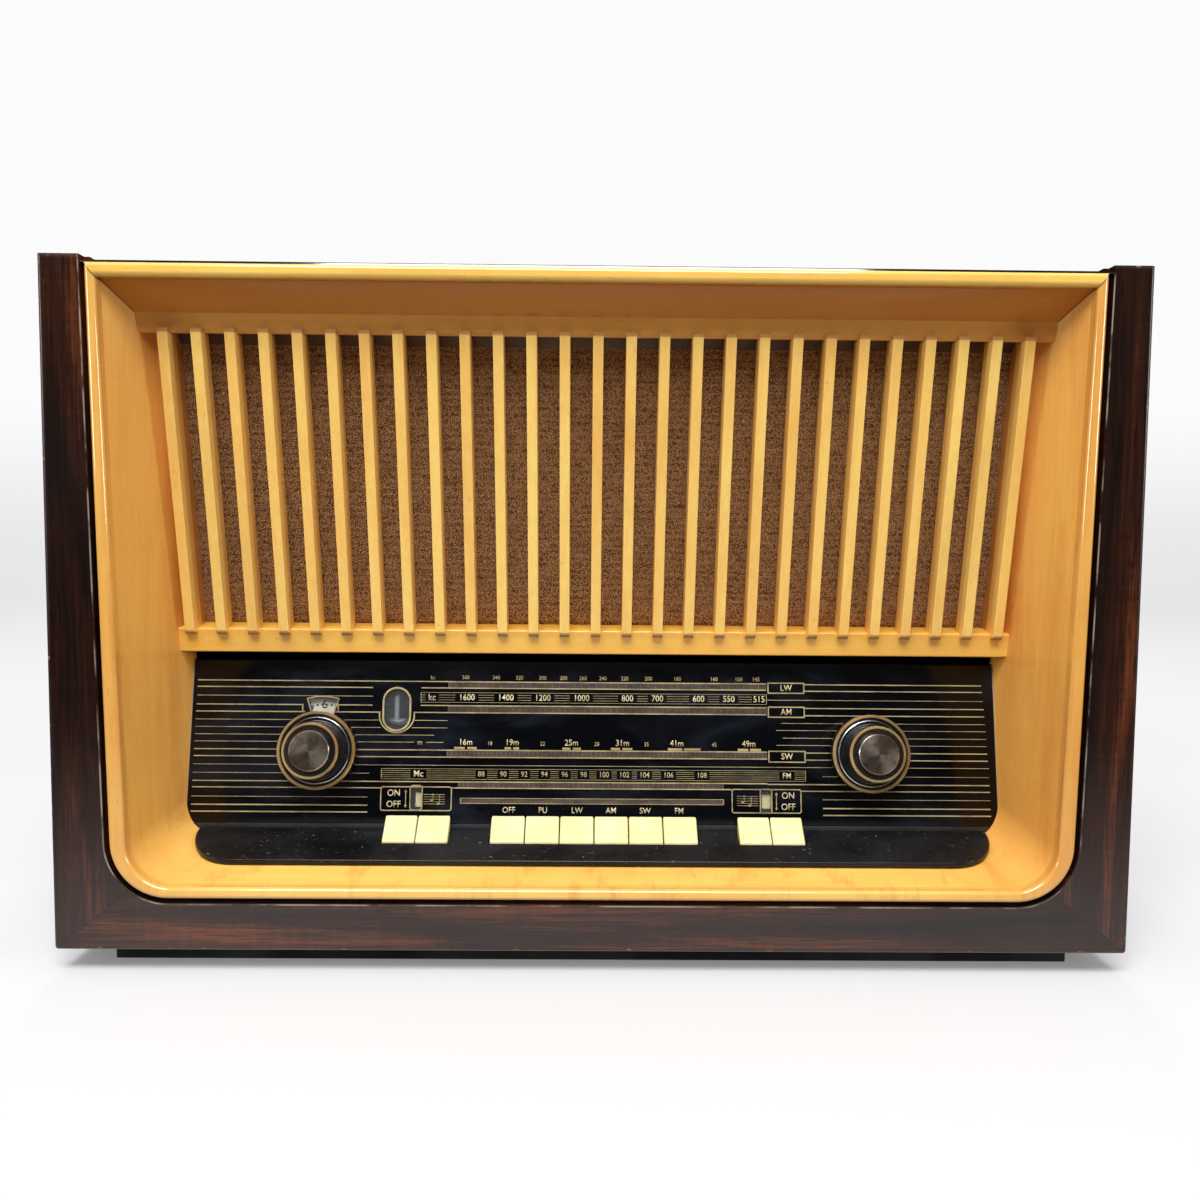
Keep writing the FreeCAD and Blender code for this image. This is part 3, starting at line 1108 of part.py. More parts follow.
def build():
    os.makedirs("parts", exist_ok=True)
    space = funnel()
    left, right, rail = front_frame()
    save("front_stile_left", left)
    save("front_stile_right", right)
    save("front_bottom_rail", rail)
    side = screw_holes(side_panel())
    save("side_panel_right", side)
    save("side_panel_left", mirrored(side))
    save("top_panel", screw_holes(top_panel()))
    save("bottom_panel", bottom_panel())
    save("plinth_battens", plinth_battens())

    top, cheek_left, cheek_right, sill = bezel(space)
    save("bezel_top", top)
    save("bezel_cheek_left", cheek_left)
    save("bezel_cheek_right", cheek_right)
    save("bezel_sill", sill)

    rail_top, rail_bottom = grille_rails(space)
    strip_left, strip_right = grille_strips(space)
    save("grille_top_rail", rail_top)
    save("grille_bottom_rail", rail_bottom)
    save("grille_strip_left", strip_left)
    save("grille_strip_right", strip_right)
    save("grille_slats", grille_slats())
    save("speaker_cloth", speaker_cloth(space))
    save("baffle_board", baffle_board())
    speakers = (-SPEAKER_SPACING / 2, SPEAKER_SPACING / 2)
    save("speaker_frames", loose([speaker_frame(x) for x in speakers]))
    save("speaker_cones", loose([speaker_cone(x) for x in speakers]))

    save("dial_glass", dial_glass(space))
    save("dial_plate", dial_plate())
    save("dial_lamps", dial_lamps())
    save("am_pointer", am_pointer())
    save("fm_pointer", fm_pointer())
    save("register_flag_left", register_flag(-1))
    save("register_flag_right", register_flag(1))
    save("magic_eye_tube", magic_eye_tube())

    save("volume_knob", small_knob(-1))
    save("volume_spindle", spindle(-1, AM_DRUM_OFFSET + DRUM_WIDTH))
    save("aerial_knob", ring_knob(-1))
    save("aerial_sleeve", sleeve(-1, FM_DRUM_OFFSET, AERIAL_DISC_OFFSET))
    save("am_tuning_knob", small_knob(1))
    save("am_tuning_spindle", spindle(1, AM_DRUM_OFFSET + DRUM_WIDTH + 2, AM_DRUM_OFFSET))
    save("fm_tuning_knob", ring_knob(1))
    save("fm_tuning_sleeve", sleeve(1, FM_DRUM_OFFSET))

    save("key_ledge", key_ledge(space))
    groups = key_groups()
    for names, (start, pitch, count) in zip((PAIR_KEYS[0], SELECTOR_KEYS, PAIR_KEYS[1]), groups):
        for index, name in enumerate(names):
            save(name, key(start + index * pitch, pitch))
    save("key_frame", key_frame())

    save("chassis_pan", chassis_pan())
    blocks = ((POWER_CENTRE, POWER_SIZE), (OUTPUT_CENTRE, OUTPUT_SIZE))
    save("transformers", loose([transformer(centre, size) for centre, size in blocks]))
    save("valves", valves())
    save("screening_cans", screening_cans())
    save("tuning_capacitor_frame", capacitor_frame())
    save("tuning_capacitor_rotor", capacitor_rotor())
    save("ferrite_aerial", ferrite_aerial())

    save("back_panel", back_panel())
    save("back_screws", back_screws())
    save("rear_sockets", rear_sockets())
    save("mains_grommet", mains_grommet())


build()
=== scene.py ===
import json
import math

import bmesh
import bpy
from mathutils import Matrix, Vector

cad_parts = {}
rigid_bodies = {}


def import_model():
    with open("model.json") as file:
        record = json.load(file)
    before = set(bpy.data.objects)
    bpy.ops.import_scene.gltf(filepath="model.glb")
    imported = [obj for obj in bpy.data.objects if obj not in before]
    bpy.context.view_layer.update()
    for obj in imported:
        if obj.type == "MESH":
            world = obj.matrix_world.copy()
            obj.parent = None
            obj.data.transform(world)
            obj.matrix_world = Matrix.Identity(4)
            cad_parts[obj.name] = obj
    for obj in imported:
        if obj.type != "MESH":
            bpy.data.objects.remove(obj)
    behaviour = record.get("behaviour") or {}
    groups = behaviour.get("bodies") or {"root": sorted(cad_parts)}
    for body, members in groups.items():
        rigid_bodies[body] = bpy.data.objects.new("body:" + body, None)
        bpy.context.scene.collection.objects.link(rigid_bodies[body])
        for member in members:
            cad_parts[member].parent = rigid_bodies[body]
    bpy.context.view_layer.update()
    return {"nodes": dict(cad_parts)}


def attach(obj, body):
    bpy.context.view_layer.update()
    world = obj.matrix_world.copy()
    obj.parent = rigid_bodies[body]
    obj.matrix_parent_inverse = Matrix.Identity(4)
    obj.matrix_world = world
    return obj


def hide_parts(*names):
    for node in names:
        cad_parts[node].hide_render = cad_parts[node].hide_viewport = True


for left_over in list(bpy.data.objects):
    bpy.data.objects.remove(left_over)

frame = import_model()

# Shapes are in millimetres and degrees until they are put in their place; finishes are in metres.
MM = 0.001
FRONT, UNDERSIDE = -140.5, 14.5  # depth of the dark front, height of the cabinet's underside
DIAL_LEAN, GRILLE_LEAN = 10.9, 10.64
KNOB_SPREAD, KNOB_RISE = 178.4, 46.8  # out from the middle, and up the dial
EYE = (-130.0, 73.7, 8.1, 13.2)  # across, rise, half width, half height
KEY_PITCH, PAIR_PITCH = 22.15, 21.1  # in the row of six, in the pairs beside it


def place(across, depth, height):
    """A point of the cabinet: across from its middle, in from its front, up from its underside."""
    return Vector((across, depth + FRONT, height + UNDERSIDE)) * MM


def leaning(foot, degrees):
    """The frame of a leaning face: x across, y up the face, z out of it, in millimetres."""
    return (
        Matrix.Translation(foot)
        @ Matrix.Rotation(math.radians(90 + degrees), 4, "X")
        @ Matrix.Scale(MM, 4)
    )


DIAL = leaning(place(0, 56, 61), -DIAL_LEAN)
GRILLE = leaning(place(0, 24, 378), GRILLE_LEAN)
CABINET = Matrix.Translation(place(0, 0, 0)) @ Matrix.Scale(MM, 4)


# ---------------------------------------------------------------- modelling


def started(name):
    """Names the primitive just added and opens it for editing."""
    piece = bpy.context.active_object
    piece.name = piece.data.name = name
    bpy.ops.object.mode_set(mode="EDIT")
    return piece


def stop_editing():
    bpy.ops.object.mode_set(mode="OBJECT")


def pick_all():
    bpy.ops.mesh.select_all(action="SELECT")


def face_outwards():
    pick_all()
    bpy.ops.mesh.normals_make_consistent(inside=False)


def smooth_below(degrees):
    bpy.ops.object.shade_smooth_by_angle(angle=math.radians(degrees))


def block(name, middle, size):
    """A box about its middle, open for editing."""
    bpy.ops.mesh.primitive_cube_add(size=1, location=middle)
    piece = started(name)
    bpy.ops.transform.resize(value=size, center_override=middle)
    return piece


def choose(piece, kind, wanted):
    """Selects the verts, edges or faces whose middle, and normal for faces, the test wants."""
    shape = bmesh.from_edit_mesh(piece.data)
    bpy.ops.mesh.select_all(action="DESELECT")
    shape.select_mode = {kind[:-1].upper()}
    for part in getattr(shape, kind):
        if kind == "verts":
            picked = wanted(part.co)
        elif kind == "edges":
            picked = wanted((part.verts[0].co + part.verts[1].co) / 2)
        else:
            picked = wanted(part.calc_center_median(), part.normal)
        part.select_set(bool(picked))
    shape.select_flush_mode()
    bmesh.update_edit_mesh(piece.data)


def push(x=0, y=0, z=0):
    bpy.ops.transform.translate(value=(x, y, z))


def draw_out(x=0, y=0, z=0):
    bpy.ops.mesh.extrude_region_move(TRANSFORM_OT_translate={"value": (x, y, z)})


def apply_modifier(piece, kind, **settings):
    bpy.context.view_layer.objects.active = piece
    made = piece.modifiers.new(kind.title(), kind)
    for key, value in settings.items():
        setattr(made, key, value)
    bpy.ops.object.modifier_apply(modifier=made.name)


def close_up(piece, matrix=None, smooth=35.0):
    """Leaves edit mode, merges doubles, turns faces outwards and puts the piece in its place."""
    pick_all()
    bpy.ops.mesh.remove_doubles(threshold=0.0005)
    face_outwards()
    stop_editing()
    settle(piece, matrix)
    smooth_below(smooth)
    return piece


def settle(piece, matrix=None):
    bpy.ops.object.select_all(action="DESELECT")
    piece.select_set(True)
    bpy.context.view_layer.objects.active = piece
    if matrix is not None:
        piece.matrix_world = matrix @ piece.matrix_world
    bpy.ops.object.transform_apply(location=True, rotation=True, scale=True)


def copied(piece, name, matrix):
    twin = piece.copy()
    twin.data = piece.data.copy()
    twin.name = twin.data.name = name
    bpy.context.scene.collection.objects.link(twin)
    settle(twin, matrix)
    return twin


def joined(pieces, name):
    bpy.ops.object.select_all(action="DESELECT")
    for piece in pieces:
        piece.select_set(True)
    bpy.context.view_layer.objects.active = pieces[0]
    bpy.ops.object.join()
    made = bpy.context.active_object
    made.name = made.data.name = name
    return made


def dressed(piece, body, slot, finish, *stands_for):
    """Gives a piece its finish, its body and the solids that it stands for; the record's slot is
    not used.
    """
    piece.data.materials.clear()
    piece.data.materials.append(finishes[finish])
    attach(piece, body)
    if stands_for:
        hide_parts(*stands_for)
    return piece


def turned(name, profile):
    """A turned piece about its z: a ring drawn out and sized at each (radius, height)."""
    radius, height = profile[0]
    bpy.ops.mesh.primitive_circle_add(vertices=96, radius=radius, location=(0, 0, height))
    piece = started(name)
    for (before, low), (after, high) in zip(profile, profile[1:]):
        draw_out(z=high - low)
        if after == 0:
            bpy.ops.mesh.merge(type="CENTER")
        elif after != before:
            bpy.ops.transform.resize(
                value=(after / before, after / before, 1), center_override=(0, 0, 0)
            )
    return piece


# ---------------------------------------------------------------- finishes


def srgb(*levels):
    """A colour from its 0-255 levels, as the shaders want it."""
    return tuple(
        (v / 255 / 12.92 if v <= 10 else ((v / 255 + 0.055) / 1.055) ** 2.4) for v in levels
    ) + (1.0,)


def reckoning(operation, swapped=False):
    """A method that reckons with a wire and, where the operation takes one, a second value."""

    def method(self, other=0.0):
        first, second = (other, self) if swapped else (self, other)
        return self.finish.node("ShaderNodeMath", {"operation": operation}, {0: first, 1: second})

    return method


class Wire:
    """A socket that can be reckoned with."""

    def __init__(self, finish, socket):
        self.finish = finish
        self.socket = socket

    __add__ = __radd__ = reckoning("ADD")
    __sub__ = reckoning("SUBTRACT")
    __rsub__ = reckoning("SUBTRACT", swapped=True)
    __mul__ = __rmul__ = reckoning("MULTIPLY")
    __truediv__ = reckoning("DIVIDE")
    __abs__ = reckoning("ABSOLUTE")
    angle = reckoning("ARCTAN2")
    most = reckoning("MAXIMUM")
    whole = reckoning("FLOOR")
    root = reckoning("SQRT")
    sine = reckoning("SINE")


finishes = {}


class Finish:
    """One material, or the world around, built node by node and kept in finishes by its name."""

    def __init__(self, name, kind="Material"):
        owner = getattr(bpy.data, kind.lower() + "s").new(name)
        owner.use_nodes = True
        finishes[name] = owner
        self.kind = kind
        self.tree = owner.node_tree
        self.tree.nodes.clear()

    def node(self, kind, settings=None, sockets=None, out=0):
        made = self.tree.nodes.new(kind)
        for key, value in (settings or {}).items():
            if key == "stops":
                stops = made.color_ramp.elements
                for index, (at, colour) in enumerate(value):
                    stop = stops[index] if index < 2 else stops.new(at)
                    stop.position = at
                    stop.color = colour
            else:
                setattr(made, key, value)
        for key, value in (sockets or {}).items():
            if isinstance(value, Wire):
                self.tree.links.new(value.socket, made.inputs[key])
            else:
                made.inputs[key].default_value = value
        return None if out is None else Wire(self, made.outputs[out])

    def spot(self, stretch=None, turn=(0, 0, 0)):
        """Where on the object, in metres, stretched and turned."""
        here = self.node("ShaderNodeTexCoord", out="Object")
        if stretch is None:
            return here
        return self.node(
            "ShaderNodeMapping", {}, {"Vector": here, "Rotation": turn, "Scale": stretch}
        )

    def axis(self, letter, where=None):
        return self.node("ShaderNodeSeparateXYZ", {}, {0: where or self.spot()}, out=letter)

    def noise(self, where, scale, detail=3.0, rough=0.55, warp=0.0):
        look = {"Scale": scale, "Detail": detail, "Roughness": rough, "Distortion": warp}
        return self.node("ShaderNodeTexNoise", {}, {"Vector": where, **look})

    def grain(self, axis, across, length, detail=3.0, rough=0.55, warp=0.0):
        """Noise drawn out along one axis, from features a metre across it and along it."""
        stretch = tuple(length if letter == axis else across for letter in "xyz")
        return self.noise(self.spot(stretch), 1, detail, rough, warp)

    def away(self, centre):
        """How far a point lies from a centre."""
        ends = {0: self.spot(), 1: centre}
        return self.node("ShaderNodeVectorMath", {"operation": "DISTANCE"}, ends, out="Value")

    def fade(self, value, low, high, start=0.0, end=1.0):
        return self.node(
            "ShaderNodeMapRange",
            {"interpolation_type": "SMOOTHSTEP"},
            {"Value": value, "From Min": low, "From Max": high, "To Min": start, "To Max": end},
        )

    def blend(self, factor, first, second, way="MIX"):
        return self.node(
            "ShaderNodeMix",
            {"data_type": "RGBA", "blend_type": way},
            {0: factor, 6: first, 7: second},
            out=2,
        )

    def ramp(self, value, *stops):
        return self.node("ShaderNodeValToRGB", {"stops": stops}, {0: value})

    def relief(self, height, strength, distance):
        return self.node(
            "ShaderNodeBump", {}, {"Height": height, "Strength": strength, "Distance": distance}
        )

    def skin(self, **sockets):
        """Ends the material in a principled surface, with sockets by their names."""
        named = {key.replace("_", " "): value for key, value in sockets.items()}
        self.end_in(self.node("ShaderNodeBsdfPrincipled", {}, named))

    def end_in(self, shader):
        self.node("ShaderNodeOutput" + self.kind, {}, {"Surface": shader}, out=None)


def frame_edge(f):
    """How far a point of the dark front lies outside the opening's rounded edge."""
    x, z = f.axis("X"), f.axis("Z")
    middle_z, radius, spread = 0.080, 0.037, 0.02086
    side = (abs(x) - 0.252 - (z - middle_z).most(0) * spread).most(0)
    low = (middle_z - z).most(0)
    return (side * side + low * low).root() - radius


def walnut(name, axis):
    f = Finish(name)
    figure = f.grain(axis, 30, 2.0, 4, 0.6, 1.0)
    fibre = f.grain(axis, 420, 9, 5, 0.7)
    ribbon = f.grain(axis, 14, 240, 3, 0.5)
    pores = f.grain(axis, 1500, 45, 2, 0.5)
    colour = f.ramp(
        figure * 0.62 + fibre * 0.31 + ribbon * 0.07,
        (0.38, srgb(20, 8, 4)),
        (0.64, srgb(108, 56, 29)),
        (0.51, srgb(48, 22, 11)),
    )
    dark = f.fade(pores, 0.36, 0.44, 0.75, 0.0)
    colour = f.blend(dark, colour, srgb(12, 6, 4))
    out, y, z = abs(f.axis("X")), f.axis("Y"), f.axis("Z")
    foot, head, flank = 0.0145, 0.4200, 0.3200
    front = f.fade(y, -0.1386, -0.1396)
    mitre = f.fade(abs((z - foot) - (flank - out) * 0.8), 0.0006, 0.0002)
    mitre = mitre * front * f.fade(z, 0.064, 0.060)
    colour = f.blend(mitre * 0.8, colour, srgb(12, 7, 5))
    near_side = f.fade(out, flank - 0.0035, flank - 0.0005)
    near_foot, near_head = f.fade(z, 0.0185, 0.0150), f.fade(z, head - 0.0030, head - 0.0005)
    near_front = f.fade(y, -0.1365, -0.1395)
    level = near_foot.most(near_head)
    near_edge = (near_side * level).most(near_side * near_front).most(level * near_front)
    chip = f.noise(f.spot(), 150, 4, 0.75)
    worn = f.fade(chip + near_edge * 0.13, 0.72, 0.76)
    colour = f.blend(worn * 0.7, colour, srgb(176, 132, 92))
    # Painted highlight: a pale, streaky line along the opening's rounded edge stands in for light
    # caught by that edge.
    line = f.fade(abs(frame_edge(f) - 0.0006), 0.0006, 0.0002)
    highlight_streaks = f.fade(f.noise(f.spot((40, 40, 40)), 1, 3), 0.40, 0.62)
    colour = f.blend(line * front * highlight_streaks * 0.55, colour, srgb(190, 178, 160))
    smear = f.noise(f.spot((6, 6, 9)), 1, 3)
    normal = f.relief(fibre * 0.6 - dark * 0.8 - worn - mitre, 0.2, 0.0001)
    f.skin(
        Base_Color=colour,
        Roughness=f.fade(smear, 0.3, 0.7, 0.12, 0.22) + worn * 0.3 + near_edge * 0.25,
        Coat_Weight=(1 - near_edge) * 0.2,
        Coat_Roughness=0.07,
        Normal=normal,
    )


def maple_grain(f, axis, light, deep):
    """Colour and fibre of light veneer whose grain runs along one axis."""
    figure = f.grain(axis, 34, 2.6, 4, 0.6, 0.8)
    fibre = f.grain(axis, 640, 14, 4, 0.65)
    cloud = f.noise(f.spot((5, 5, 5)), 1, 2)
    curl = f.grain(axis, 30, 90, 2)
    tone = figure * 0.5 + fibre * 0.22 + cloud * 0.18 + curl * 0.1
    colour = f.blend(f.fade(tone, 0.34, 0.66), light, deep)
    flecks = f.grain(axis, 900, 110, 2, 0.5)
    colour = f.blend(f.fade(flecks, 0.70, 0.78, 0.0, 0.4), colour, srgb(120, 70, 28))
    return colour, fibre


def aged(f, colour, amount=0.35):
    """Grime gathered in small patches."""
    grime = f.fade(f.noise(f.spot(), 60, 5, 0.75), 0.66, 0.74, 0.0, amount)
    return f.blend(grime, colour, srgb(110, 66, 30))


def maple_batten(name, axis, light, deep, slats=False):
    """Light wood of the grille; each slat has its own tone and darker ends."""
    f = Finish(name)
    colour, fibre = maple_grain(f, axis, light, deep)
    if slats:
        half_pitch, pitch = 0.00995, 0.01991
        number = ((f.axis("X") + half_pitch) / pitch).whole()
        lot = f.node("ShaderNodeTexWhiteNoise", {"noise_dimensions": "1D"}, {"W": number})
        colour = f.blend(lot * 0.4, colour, deep)
        z = f.axis("Z")
        ends = f.fade(z, 0.3803, 0.3818).most(f.fade(z, 0.1998, 0.1984))
        colour = f.blend(ends * 0.75, colour, srgb(140, 84, 56))
    f.skin(
        Base_Color=aged(f, colour),
        Roughness=f.fade(f.noise(f.spot(), 5, 2), 0.3, 0.7, 0.28, 0.40),
        Coat_Weight=0.25,
        Coat_Roughness=0.15,
        Normal=f.relief(fibre, 0.16, 0.0001),
    )


def maple_bezel(name, level, upright=None):
    """The light surround: level grain in the sill and the crown, upright grain in the cheeks."""
    f = Finish(name)
    x, y, z = f.axis("X"), f.axis("Y"), f.axis("Z")
    inside = f.fade(y, -0.1392, -0.1368)
    colour, fibre = maple_grain(f, "x", *level)
    if upright:
        wander = (f.noise(f.spot(), 14, 4, 0.6) - 0.5) * 0.05
        turn = f.fade(abs(x) + z * 0.3 + wander, 0.200, 0.310)
        colour = f.blend(turn, colour, maple_grain(f, "z", *upright)[0])
        veneer = f.noise(f.spot((80, 30, 5), (0, math.radians(24), 0)), 1, 5, 0.62, 0.3)
        colour = f.blend(f.fade(veneer, 0.52, 0.66, 0.0, 0.35), colour, srgb(206, 128, 56))
    else:
        # Painted shade: the crown's inner faces behind the nose are darkened, and a painted shadow
        # darkens the strip behind the grille's top rail.
        colour = f.blend(inside, colour, srgb(206, 158, 66), "MULTIPLY")
        colour = f.blend(f.fade(y, -0.1075, -0.1050, 0.0, 0.92), colour, srgb(30, 18, 10))
    corner = f.fade(abs(z - 0.4149 + (0.293 - abs(x)) * 1.278), 0.0008, 0.0004)
    corner = corner * f.fade(z, 0.3914, 0.3919)
    colour = f.blend(corner * 0.75, colour, srgb(84, 46, 20))
    f.skin(
        Base_Color=aged(f, colour, 0.25),
        Roughness=f.fade(f.noise(f.spot(), 7, 2), 0.3, 0.7, 0.16, 0.28) + inside * 0.18,
        Coat_Weight=f.fade(inside, 0, 1, 0.9, 0.2),
        Coat_Roughness=0.05,
        Normal=f.relief(fibre * 0.3 - corner * 0.5, 0.14, 0.0001),
    )


def dyed(name, colour, deep, rough=0.4, metal=0.0, grit=300, bump=0.15, dust=0.0, **more):
    """A moulded, painted or plated finish: cloudy colour, fine grit, dust that settles."""
    f = Finish(name)
    cloud = f.noise(f.spot(), 22, 3)
    grain = f.noise(f.spot(), grit * 4, 3, 0.6)
    tint = f.blend(f.fade(cloud * 0.6 + grain * 0.4, 0.3, 0.7), deep, colour)
    settled = f.fade(f.noise(f.spot(), 420, 4, 0.8), 0.60, 0.70) * dust
    tint = f.blend(settled, tint, srgb(150, 146, 138))
    f.skin(
        Base_Color=tint,
        Metallic=metal,
        Roughness=f.fade(cloud, 0.3, 0.7, rough * 0.8, rough * 1.2) + settled * 0.4,
        Normal=f.relief(grain, bump, 0.0001),
        **more,
    )


def woven_cloth(name):
    f = Finish(name)
    wavy = f.noise(f.spot(), 130, 3)
    net = {"Vector": f.spot((1250, 1250, 900)), "Scale": 1.0, "Randomness": 0.7}
    cell, lot = (
        f.node("ShaderNodeTexVoronoi", {}, net, out=out) for out in ("Distance", "Color")
    )
    thread = f.axis("X", lot)
    bead = f.fade(cell, 0.15, 0.75, 1.0, 0.0)
    base = f.ramp(
        bead * 0.6 + wavy * 0.4,
        (0.15, srgb(78, 50, 28)),
        (0.85, srgb(200, 154, 100)),
        (0.50, srgb(152, 108, 66)),
    )
    bronze = f.fade(thread, 0.5, 0.62) * f.fade(bead, 0.4, 0.8)
    base = f.blend(bronze * 0.8, base, srgb(226, 196, 150))
    f.skin(
        Base_Color=base,
        Roughness=0.66 - bronze * 0.4,
        Metallic=bronze * 0.7,
        Normal=f.relief(bead, 0.6, 0.0004),
    )


def black_dial(name):
    f = Finish(name)
    smear = f.noise(f.spot((9, 9, 22)), 1, 4, 0.6, 0.8)
    tint = f.blend(f.fade(smear, 0.44, 0.74), srgb(4, 5, 8), srgb(24, 27, 36))
    speck = f.fade(f.noise(f.spot(), 520, 3, 0.8), 0.715, 0.76)
    low = f.fade(f.axis("Z"), 0.115, 0.075)
    tint = f.blend(speck * (0.25 + low * 0.5), tint, srgb(150, 148, 142))
    edge = f.fade(abs(f.axis("X")), 0.2634, 0.2638)
    tint = f.blend(edge * 0.7, tint, srgb(168, 162, 152))
    f.skin(
        Base_Color=tint,
        Roughness=f.fade(smear, 0.35, 0.7, 0.10, 0.26) + speck * 0.3,
        Specular_IOR_Level=0.25,
    )


def gold_print(name, colour, worn_to, metal=0.25):
    f = Finish(name)
    patchy = f.noise(f.spot((60, 60, 190)), 1, 4, 0.7)
    tint = f.blend(f.fade(patchy, 0.34, 0.62), worn_to, colour)
    f.skin(
        Base_Color=tint, Metallic=metal, Roughness=0.42, Normal=f.relief(patchy, 0.1, 0.00005)
    )


def spun_metal(name, colour, deep, centre):
    """Metal turned about a point: fine rings in the relief, and light and dark wedges painted in as
    sheen.
    """
    f = Finish(name)
    rings = (f.away(centre) * (2 * math.pi / 0.00035)).sine() * 0.5 + 0.5
    cloud = f.noise(f.spot(), 160, 4, 0.7)
    across, rise = f.axis("X") - centre.x, f.axis("Z") - centre.z
    # Painted sheen: light and dark wedges about the centre stand in for the conic reflection of
    # turned metal.
    painted_sheen_wedge = (across.angle(rise) * 2 + 0.4).sine() * 0.5 + 0.5
    tint = f.blend(f.fade(cloud * 0.35 + rings * 0.15 + (1 - painted_sheen_wedge) * 0.5, 0.3, 0.8), deep, colour)
    f.skin(
        Base_Color=tint,
        Metallic=1.0,
        Roughness=f.fade(cloud, 0.3, 0.7, 0.255, 0.345),
        Normal=f.relief(rings, 0.4, 0.00004),
    )


def ribbed_black(name, centre):
    """Black moulding with fine ribs about a point."""
    f = Finish(name)
    ribs = (f.away(centre) * (2 * math.pi / 0.0013)).sine() * 0.5 + 0.5
    cloud = f.noise(f.spot(), 120, 4, 0.7)
    dust = f.fade(f.noise(f.spot(), 700, 3, 0.8), 0.6, 0.72)
    tint = f.blend(ribs * 0.5, srgb(12, 11, 11), srgb(40, 37, 36))
    tint = f.blend(dust * 0.3, tint, srgb(140, 134, 122))
    f.skin(
        Base_Color=tint,
        Roughness=f.fade(cloud, 0.3, 0.7, 0.2, 0.34),
        Normal=f.relief(ribs, 0.5, 0.0003),
    )


def stacked_iron(name):
    f = Finish(name)
    sheets = (f.axis("X") * (2 * math.pi / 0.0009)).sine() * 0.5 + 0.5
    rust = f.fade(f.noise(f.spot(), 90, 5, 0.7), 0.55, 0.68)
    tint = f.blend(sheets * 0.6, srgb(58, 56, 54), srgb(92, 88, 84))
    tint = f.blend(rust * 0.5, tint, srgb(104, 66, 44))
    f.skin(
        Base_Color=tint,
        Metallic=0.5,
        Roughness=0.5 + rust * 0.2,
        Normal=f.relief(sheets, 0.4, 0.0002),
    )


def pressed_board(name):
    f = Finish(name)
    fibre = f.noise(f.spot((220, 220, 700)), 1, 4, 0.7, 1.5)
    cloud = f.noise(f.spot(), 9, 4)
    tint = f.ramp(
        fibre * 0.6 + cloud * 0.4,
        (0.3, srgb(86, 58, 38)),
        (0.7, srgb(146, 108, 76)),
        (0.5, srgb(116, 82, 56)),
    )
    scuff = f.fade(f.noise(f.spot((30, 30, 90)), 1, 5, 0.8), 0.66, 0.74)
    tint = f.blend(scuff * 0.4, tint, srgb(176, 142, 108))
    f.skin(Base_Color=tint, Roughness=0.62 + cloud * 0.2, Normal=f.relief(fibre, 0.35, 0.0003))


def block_board(name):
    f = Finish(name)
    fibre = f.noise(f.spot((6, 300, 300)), 1, 5, 0.65)
    tint = f.ramp(fibre, (0.3, srgb(140, 104, 66)), (0.7, srgb(206, 172, 122)))
    f.skin(Base_Color=tint, Roughness=0.7, Normal=f.relief(fibre, 0.3, 0.0003))


def clear_glass(name, tint, seen, rough=0.05):
    f = Finish(name)
    cloud = f.noise(f.spot(), 70, 3)
    f.skin(
        Base_Color=tint,
        Roughness=f.fade(cloud, 0.3, 0.7, rough, rough + 0.06),
        Alpha=f.fade(cloud, 0.2, 0.8, seen * 0.85, min(1, seen * 1.15)),
        IOR=1.5,
        Normal=f.relief(cloud, 0.05, 0.0001),
    )


def eye_window(name, middle):
    """Smoked glass with a painted upright highlight and a painted bright foot, as light on the tube
    behind it.
    """
    f = Finish(name)
    cloud = f.noise(f.spot(), 90, 3)
    across = abs(f.axis("X") - middle.x + 0.0008)
    # Painted highlights: an upright streak and a bright foot of light on the tube.
    painted_streak = f.fade(across, 0.0022, 0.0002) * 0.4
    foot = f.fade(f.axis("Z") - middle.z, -0.0060, -0.0105)
    tint = f.blend(painted_streak.most(foot * 0.9), srgb(16, 17, 21), srgb(206, 214, 220))
    f.skin(
        Base_Color=tint,
        Roughness=f.fade(cloud, 0.3, 0.7, 0.06, 0.12),
        Alpha=f.fade(cloud, 0.2, 0.8, 0.96, 0.99),
        Normal=f.relief(cloud, 0.05, 0.0001),
    )


def ivory_moulding(name):
    f = Finish(name)
    cloud = f.noise(f.spot(), 55, 3)
    low = f.fade(f.axis("Z"), 0.0695, 0.0655)
    tint = f.blend(f.fade(cloud, 0.3, 0.7), srgb(226, 213, 156), srgb(234, 224, 172))
    tint = f.blend(low * 0.35, tint, srgb(232, 196, 128))
    dirt = f.fade(f.noise(f.spot(), 330, 4, 0.75), 0.66, 0.74, 0.0, 0.5)
    tint = f.blend(dirt, tint, srgb(176, 146, 96))
    f.skin(
        Base_Color=tint,
        Roughness=f.fade(cloud, 0.3, 0.7, 0.22, 0.34),
        Subsurface_Weight=0.12,
        Subsurface_Radius=(0.004, 0.003, 0.0015),
        Normal=f.relief(cloud, 0.06, 0.0001),
    )


def dusty_black(name):
    f = Finish(name)
    speck = f.fade(f.noise(f.spot((260, 520, 700)), 1, 4, 0.8), 0.64, 0.69)
    patch = f.fade(f.noise(f.spot((16, 16, 16)), 1, 4, 0.7), 0.30, 0.80)
    tint = f.blend(patch * 0.6, srgb(10, 11, 14), srgb(34, 36, 40))
    tint = f.blend(speck * 0.55, tint, srgb(170, 166, 156))
    f.skin(
        Base_Color=tint,
        Roughness=f.fade(patch, 0, 1, 0.24, 0.44) + speck * 0.3,
        Specular_IOR_Level=0.3,
        Normal=f.relief(speck, 0.3, 0.0001),
    )


